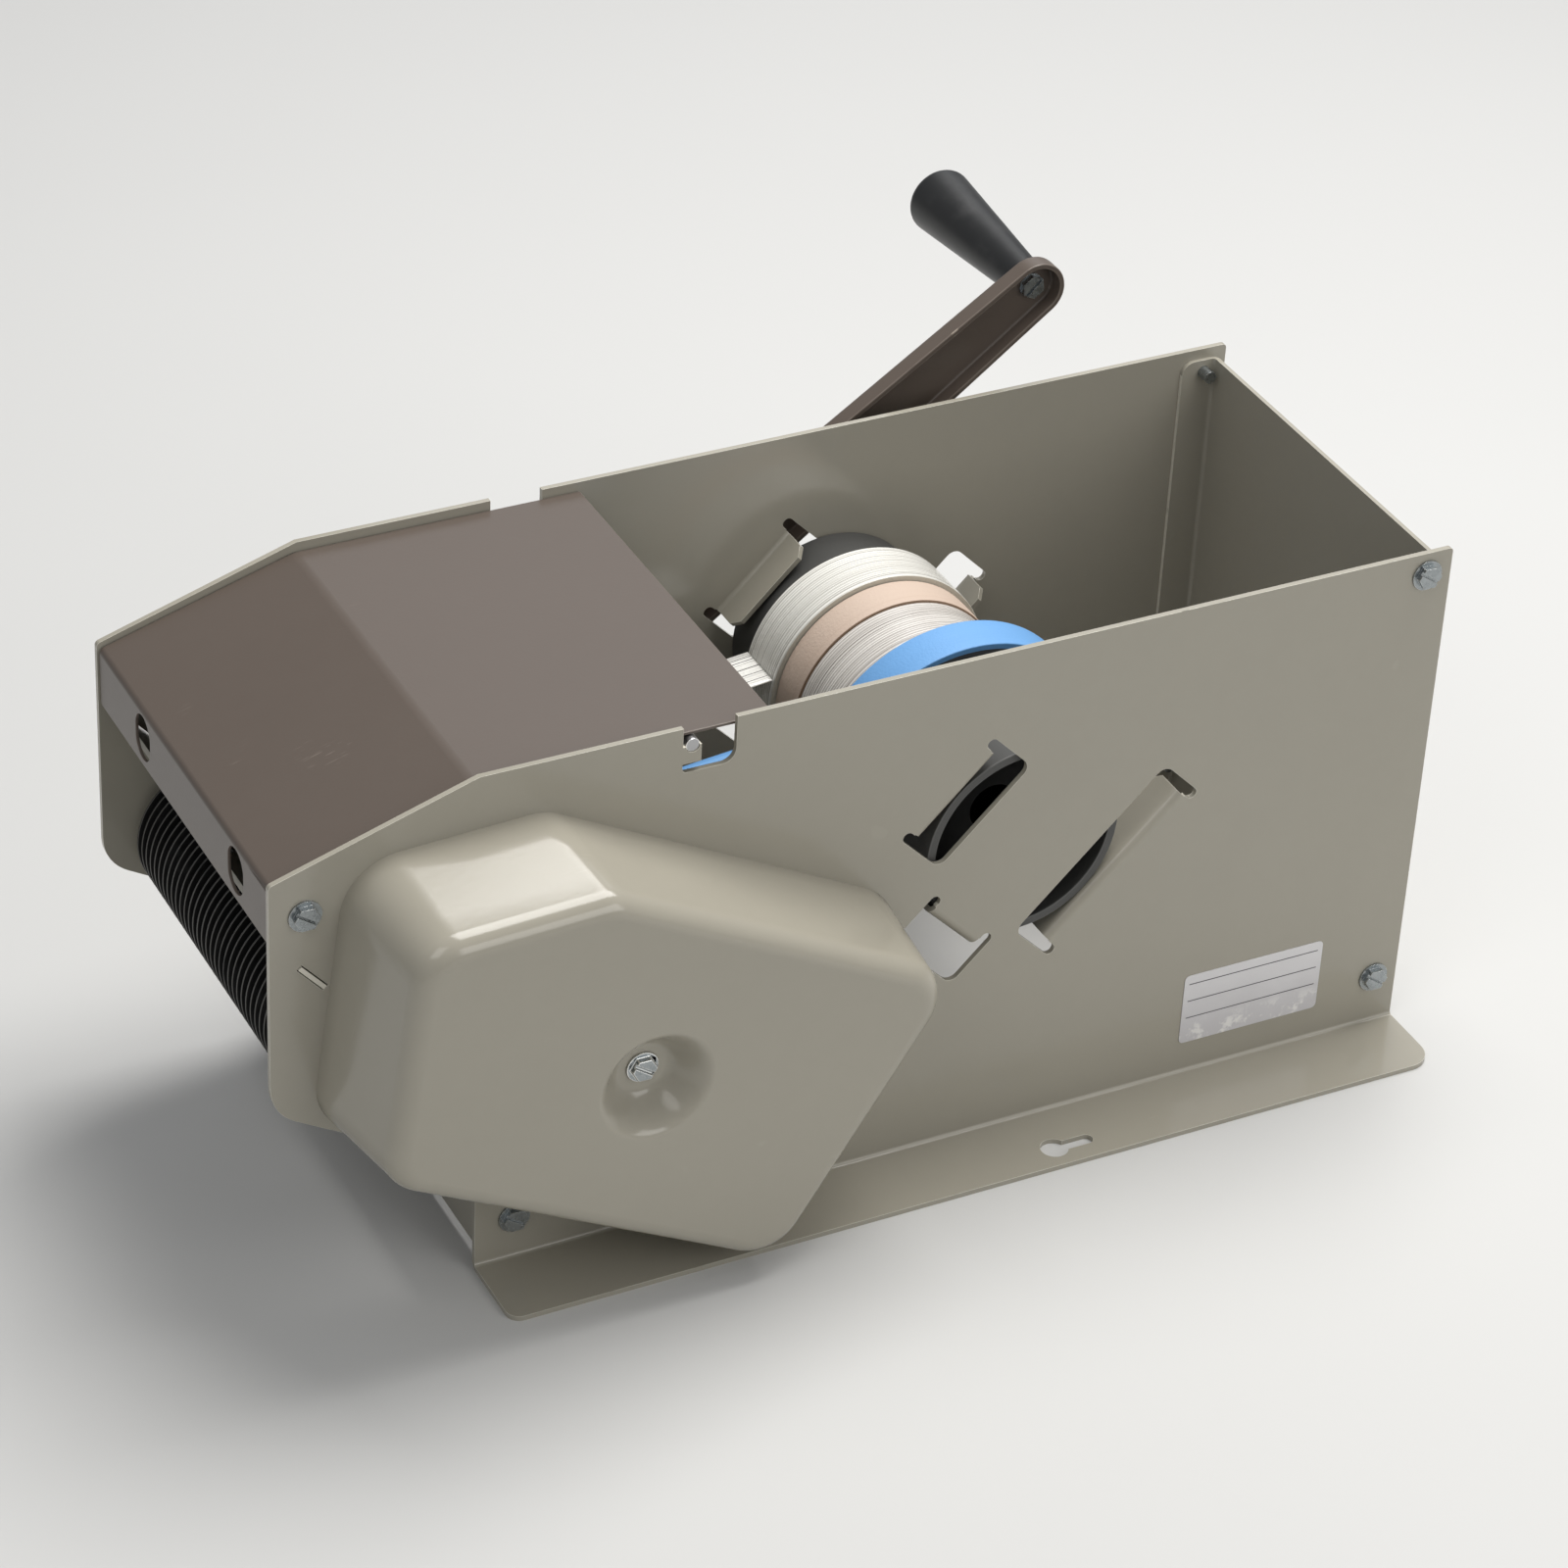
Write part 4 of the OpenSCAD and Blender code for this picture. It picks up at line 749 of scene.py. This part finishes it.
def makeBeltCover():
    low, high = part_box("belt_cover")
    screwLow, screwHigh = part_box("cover_screw")
    screwX, screwZ = (screwLow.x + screwHigh.x) / 2 / mm, (screwLow.z + screwHigh.z) / 2 / mm
    depth = (high.y - low.y) / mm
    look = beltCover
    bm = bmesh.new()
    # the sides, then the rounded rim in small steps
    straight = depth - look["edgeRound"]
    levels = [(i / look["sideSteps"], 0.0, straight * i / look["sideSteps"])
              for i in range(look["sideSteps"] + 1)]
    for i in range(1, look["edgeSteps"] + 1):
        a = math.pi / 2 * i / look["edgeSteps"]
        levels.append((1.0, look["edgeRound"] * (1 - math.cos(a)), straight + look["edgeRound"] * math.sin(a)))
    last = None
    for share, inset, height in levels:
        row = [bm.verts.new((x, z, height)) for x, z in coverOutline(share, inset)]
        if last:
            for k in range(len(row)):
                bm.faces.new((last[k - 1], last[k], row[k], row[k - 1]))
        last = row
    outer = [bm.edges.get((last[k - 1], last[k])) for k in range(len(last))]
    ring = bmesh.ops.create_circle(bm, cap_ends=False, radius=look["dimpleTop"], segments=look["roundSteps"],
                                   matrix=Matrix.Translation((0, 0, depth)))["verts"]
    ringEdges = [e for e in bm.edges if e.verts[0] in set(ring) and e.verts[1] in set(ring)]
    bmesh.ops.triangle_fill(bm, use_beauty=True, use_dissolve=False, edges=outer + ringEdges, normal=(0, 0, 1))
    # down the dimple with soft shoulders, then in to the screw hole
    path = []
    for i in range(look["dimpleSteps"] + 1):
        t = i / look["dimpleSteps"]
        eased = t * t * (3 - 2 * t)
        inward = look["dimpleTop"] - (look["dimpleTop"] - look["dimpleFloor"]) * t
        path.append((inward, depth - look["dimpleDepth"] * eased))
    floor = depth - look["dimpleDepth"] - look["floorStep"]
    path += [(look["dimpleFloor"] - look["floorInset"], floor), (look["screwHole"], floor)]
    current, radius, height = ringEdges, look["dimpleTop"], depth
    for nextRadius, nextHeight in path[1:]:
        made = bmesh.ops.extrude_edge_only(bm, edges=current)["geom"]
        verts = [g for g in made if isinstance(g, bmesh.types.BMVert)]
        current = [g for g in made if isinstance(g, bmesh.types.BMEdge)]
        bmesh.ops.scale(bm, vec=(nextRadius / radius, nextRadius / radius, 1), verts=verts)
        bmesh.ops.translate(bm, vec=(0, 0, nextHeight - height), verts=verts)
        radius, height = nextRadius, nextHeight
    bmesh.ops.recalc_face_normals(bm, faces=bm.faces)
    up = max(bm.faces, key=lambda f: f.calc_center_median().z)
    if up.normal.z < 0:
        bmesh.ops.reverse_faces(bm, faces=bm.faces)
    bmesh.ops.transform(bm, verts=bm.verts, matrix=Matrix.Translation((screwX * mm, high.y, screwZ * mm))
                        @ Matrix.Rotation(math.radians(90), 4, "X") @ Matrix.Scale(mm, 4))
    piece = addPiece("beltCover", bm, "frame", coverEnamel, ("belt_cover",), sharp=50,
                     weighted=False)
    wall = piece.modifiers.new("sheet", "SOLIDIFY")
    wall.thickness = look["wall"] * mm
    wall.offset = -1
    wall.use_even_offset = True
    wall.use_rim = True
    even = piece.modifiers.new("evenShading", "WEIGHTED_NORMAL")
    even.keep_sharp = True


makeBeltCover()
print("belt cover made")

# ---- knob: turned profile, swelling to its free end
leverKnob = {"bore": 3.1, "root": 7.3, "free": 12.6, "length": 70.0, "endRound": 3.4, "socket": 6.0,
             "socketDepth": 9.0,
             "rootStart": 0.9, "socketLip": 0.6, "sideSteps": 13, "endSteps": 8, "turnSteps": 72}


def makeKnob():
    low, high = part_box("lever_knob")
    x, z = (low.x + high.x) / 2, (low.z + high.z) / 2
    look = leverKnob
    bore, root, free, length, bend = (look[key] for key in ("bore", "root", "free", "length", "endRound"))
    socket, lip, start = look["socket"], look["socketLip"], look["rootStart"]
    profile = [(bore, 0.0), (root - 1.0, 0.0), (root - 0.3, 0.25), (root, start)]
    # the side is a cone, and its free end is rounded over
    for i in range(1, look["sideSteps"]):
        t = i / look["sideSteps"]
        profile.append((root + (free - root) * t, start + (length - bend - start) * t))
    for i in range(look["endSteps"] + 1):
        a = math.radians(90 * i / look["endSteps"])
        profile.append((free - bend * (1 - math.cos(a)), length - bend * (1 - math.sin(a))))
    profile += [(socket + lip, length), (socket, length - lip), (socket, length - look["socketDepth"]),
                (bore, length - look["socketDepth"])]
    bm = bmesh.new()
    verts = [bm.verts.new((r, y, 0)) for r, y in profile]
    edges = [bm.edges.new((verts[i], verts[(i + 1) % len(verts)])) for i in range(len(verts))]
    bmesh.ops.spin(bm, geom=verts + edges, cent=(0, 0, 0), axis=(0, 1, 0), angle=math.tau,
                   steps=look["turnSteps"],
                   use_merge=True)
    bmesh.ops.remove_doubles(bm, verts=bm.verts, dist=0.001)
    bmesh.ops.recalc_face_normals(bm, faces=bm.faces)
    bmesh.ops.transform(bm, verts=bm.verts, matrix=Matrix.Translation((x, low.y, z)) @ Matrix.Scale(mm, 4))
    addPiece("leverKnob", bm, nodeBody["lever_knob"], knobPlastic, ("lever_knob",), sharp=50)


makeKnob()
print("knob made")

# ---- tape rolls: wound tape with soft shoulders over a board core
tapeRolls = {
    "blueRoll": {"nodes": ("blue_roll", "blue_core"), "finish": blueTape, "slot": "blue_tape", "shoulder": 0.5,
                 "crown": 0.15,
                 "core": (darkCore, "hub_plastic")},
    "clearRoll": {"nodes": ("clear_roll", "clear_core"), "finish": clearTape, "slot": "clear_tape",
                  "shoulder": 0.3, "crown": 0.1},
    "tanRoll": {"nodes": ("tan_roll", "tan_core"), "finish": tanTape, "slot": "tan_tape", "shoulder": 0.4,
                "crown": 0.12},
    "whiteRoll": {"nodes": ("white_roll", "white_core"), "finish": whiteTape, "slot": "white_tape",
                  "shoulder": 0.3, "crown": 0.1},
}
rollSteps = {"shoulder": 4, "crown": 8, "round": 128}
coreEdge = 0.2


def makeRoll(name, look):
    low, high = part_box(look["nodes"][0])
    coreLow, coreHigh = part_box(look["nodes"][1])
    outer = (high.z - low.z) / 2 / mm
    inner = (coreHigh.z - coreLow.z) / 2 / mm
    wide = (high.y - low.y) / mm
    soft, crown = look["shoulder"], look["crown"]
    # outside: rounded shoulders and a slight crown between them
    shoulder = []
    for i in range(rollSteps["shoulder"] + 1):
        a = math.radians(90 * i / rollSteps["shoulder"])
        shoulder.append((outer - soft - crown + soft * math.sin(a), soft * (1 - math.cos(a))))
    profile = [(inner, 0.0)] + shoulder
    for i in range(1, rollSteps["crown"]):
        t = i / rollSteps["crown"]
        profile.append((outer - crown * (2 * t - 1) ** 2, soft + (wide - 2 * soft) * t))
    profile += [(r, wide - y) for r, y in reversed(shoulder)] + [(inner, wide)]
    bm = bmesh.new()
    verts = [bm.verts.new((r, y, 0)) for r, y in profile]
    edges = [bm.edges.new((verts[i], verts[(i + 1) % len(verts)])) for i in range(len(verts))]
    bmesh.ops.spin(bm, geom=verts + edges, cent=(0, 0, 0), axis=(0, 1, 0), angle=math.tau,
                   steps=rollSteps["round"], use_merge=True)
    bmesh.ops.remove_doubles(bm, verts=bm.verts, dist=0.001)
    bmesh.ops.recalc_face_normals(bm, faces=bm.faces)
    bmesh.ops.transform(bm, verts=bm.verts,
                        matrix=Matrix.Translation((mandrelAxis.x, low.y, mandrelAxis.z)) @ Matrix.Scale(mm, 4))
    addPiece(name, bm, nodeBody[look["nodes"][0]], look["finish"], (look["nodes"][0],), sharp=60)
    coreFinish, coreSlot = look.get("core", (coreBoard, "card"))
    softened(look["nodes"][1], name + "Core", coreFinish, coreEdge)


for name, look in tapeRolls.items():
    makeRoll(name, look)
print("tape rolls made")

# ---- the two threaded tapes: from a roll, up over the drum
whiteLow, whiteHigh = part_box("white_tape_strip")
webMiddle = (whiteLow.y + whiteHigh.y) / 2 / mm
whiteWeb = tapeFinish("whiteWeb", dict(whiteLook, light=(0.88, 0.87, 0.83), dark=(0.72, 0.71, 0.66),
                                       ink=(0.03, 0.03, 0.03),
                                       blackLines=tuple(webMiddle + d for d in (-6.4, -2.6, 1.2, 5.6, 7.4))),
                      (mandrelAxis.x, 0, mandrelAxis.z))
webs = {
    "whiteWebStrip": {"node": "white_tape_strip", "roll": "white_roll", "liftAt": 167.0, "finish": whiteWeb,
                      "slot": "white_tape",
                      "creaseAt": 11.0, "creaseDrop": 0.9, "curl": 0.25},
    "blueWebStrip": {"node": "blue_tape_strip", "roll": "blue_roll", "liftAt": 152.0, "finish": blueTape,
                     "slot": "blue_tape",
                     "creaseAt": 18.0, "creaseDrop": 0.5, "curl": 0.2},
}
webShared = {"thickness": 0.3, "gap": 0.3, "endAt": 108.0, "across": 8, "arcSteps": 10, "runSteps": 40,
             "crowding": 1.4,
             "ripple": 0.12, "rippleLength": 9.0, "rippleEnds": 20.0}


def makeWeb(name, look):
    low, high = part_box(look["node"])
    rollLow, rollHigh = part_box(look["roll"])
    finLow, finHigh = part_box("drum_fins")
    roll = (rollHigh.z - rollLow.z) / 2 / mm + webShared["gap"]
    over = (finHigh.z - finLow.z) / 2 / mm + webShared["gap"]
    drum = Vector(((finLow.x + finHigh.x) / 2 / mm, (finLow.z + finHigh.z) / 2 / mm))
    lift = math.radians(look["liftAt"])
    start = Vector((mandrelAxis.x / mm + roll * math.cos(lift), mandrelAxis.z / mm + roll * math.sin(lift)))
    reach = start - drum
    lean = math.atan2(reach.y, reach.x) + math.acos(over / reach.length)
    sweep, steps = math.radians(webShared["endAt"]) - lean, webShared["arcSteps"]
    turns = [lean + sweep * i / steps for i in range(steps + 1)]
    arc = [drum + over * Vector((math.cos(a), math.sin(a))) for a in turns]
    # from the roll to the drum, with a crease near the roll and a slow ripple
    run = arc[0] - start
    down = Vector((run.y, -run.x)).normalized()
    if down.y > 0:
        down = -down
    path = []
    ends = webShared["rippleEnds"]
    for i in range(webShared["runSteps"] + 1):
        along = run.length * (i / webShared["runSteps"]) ** webShared["crowding"]
        drop = look["creaseDrop"] * max(0.0, 1 - abs(along - look["creaseAt"]) / look["creaseAt"])
        fading = min(1, along / ends, (run.length - along) / ends)
        ripple = webShared["ripple"] * math.sin(along / webShared["rippleLength"]) * fading
        path.append(start + run.normalized() * along + down * (drop + ripple))
    path += arc[1:]
    wide = (high.y - low.y) / mm
    bm = bmesh.new()
    across = webShared["across"]
    first = [bm.verts.new((path[0].x, low.y / mm + wide * k / across, path[0].y)) for k in range(across + 1)]
    current = [bm.edges.new((first[k], first[k + 1])) for k in range(across)]
    for a, b in zip(path, path[1:]):
        made = bmesh.ops.extrude_edge_only(bm, edges=current)["geom"]
        current = [g for g in made if isinstance(g, bmesh.types.BMEdge)]
        verts = [g for g in made if isinstance(g, bmesh.types.BMVert)]
        bmesh.ops.translate(bm, vec=(b.x - a.x, 0, b.y - a.y), verts=verts)
    # edges of the tape stand a little proud of its middle
    middle = low.y / mm + wide / 2
    for vert in bm.verts:
        share = (vert.co.y - middle) / (wide / 2)
        vert.co.z += look["curl"] * share * share * 0.5
    bmesh.ops.recalc_face_normals(bm, faces=bm.faces)
    if sum(f.normal.z for f in bm.faces) < 0:
        bmesh.ops.reverse_faces(bm, faces=bm.faces)
    bmesh.ops.transform(bm, verts=bm.verts, matrix=Matrix.Scale(mm, 4))
    piece = addPiece(name, bm, nodeBody[look["node"]], look["finish"], (look["node"],), sharp=25,
                     weighted=False)
    sheet = piece.modifiers.new("sheet", "SOLIDIFY")
    sheet.thickness = webShared["thickness"] * mm
    sheet.offset = 1


for name, look in webs.items():
    makeWeb(name, look)
print("threaded tapes made")

# ---- studio: pale floor, soft lights, camera
studio = {"floorSize": 9.0, "floorColour": (0.6, 0.6, 0.59), "ambient": (0.9, 0.92, 0.95),
          "ambientStrength": 0.35,
          "floorShade": 0.97, "floorCloud": 3.0, "floorRough": 0.8}
softLights = (
    # name, place, aim, width, height, watts, colour
    ("keySoftbox", (0.45, 0.2, 1.65), (-0.05, 0, 0.1), 1.1, 1.1, 33.0, (1.0, 0.985, 0.965)),
    ("frontFill", (0.75, -1.8, 0.95), (-0.05, 0, 0.1), 1.3, 1.0, 11.0, (1.0, 0.985, 0.965)),
    ("leftCard", (-1.15, -0.75, 1.6), (0, 0, 0.1), 0.9, 0.9, 5.0, (1.0, 0.985, 0.96)),
    ("backCard", (0.95, 1.75, 1.35), (0, 0, 0.1), 1.3, 0.9, 3.0, (0.94, 0.96, 1.0)),
)


def makeStudio():
    bm = bmesh.new()
    bmesh.ops.create_grid(bm, x_segments=2, y_segments=2, size=studio["floorSize"] / 2)
    mesh = bpy.data.meshes.new("studioFloor")
    bm.to_mesh(mesh)
    bm.free()
    floor = bpy.data.objects.new("studioFloor", mesh)
    scene.collection.objects.link(floor)
    material, tree, shader = newFinish("paleFloor")
    vector = objectCoords(tree)
    cloud = noiseNode(tree, vector, studio["floorCloud"], 2.0, 0.5, (-700, 0))
    low = tuple(c * studio["floorShade"] for c in studio["floorColour"])
    tree.links.new(mixColour(tree, cloud, low, studio["floorColour"], (-300, 0)), shader.inputs["Base Color"])
    shader.inputs["Roughness"].default_value = studio["floorRough"]
    mesh.materials.append(material)
    world = bpy.data.worlds.new("studioAir")
    scene.world = world
    world.use_nodes = True
    back = world.node_tree.nodes["Background"]
    back.inputs["Color"].default_value = (*studio["ambient"], 1)
    back.inputs["Strength"].default_value = studio["ambientStrength"]
    for name, place, aim, wide, tall, watts, colour in softLights:
        lamp = bpy.data.lights.new(name, "AREA")
        lamp.shape = "RECTANGLE"
        lamp.size, lamp.size_y = wide, tall
        lamp.energy = watts
        lamp.color = colour
        holder = bpy.data.objects.new(name, lamp)
        holder.location = place
        holder.rotation_euler = (Vector(aim) - Vector(place)).to_track_quat("-Z", "Y").to_euler()
        scene.collection.objects.link(holder)


cameraView = {"place": (-0.78137, -1.33400, 1.13601), "right": (0.89365848, -0.44644927, 0.04536053),
              "up": (0.21690667, 0.51823601, 0.82727440), "back": (-0.39284351, -0.72946178, 0.55996383),
              "lens": 119.0, "sensor": 36.0, "clipStart": 0.05}


def makeCamera():
    lens = bpy.data.cameras.new("productCamera")
    lens.lens = cameraView["lens"]
    lens.sensor_width = cameraView["sensor"]
    lens.clip_start = cameraView["clipStart"]
    camera = bpy.data.objects.new("productCamera", lens)
    axes = Matrix((cameraView["right"], cameraView["up"], cameraView["back"])).transposed().to_4x4()
    camera.matrix_world = Matrix.Translation(cameraView["place"]) @ axes
    scene.collection.objects.link(camera)
    scene.camera = camera


makeStudio()
makeCamera()
print("studio and camera set")
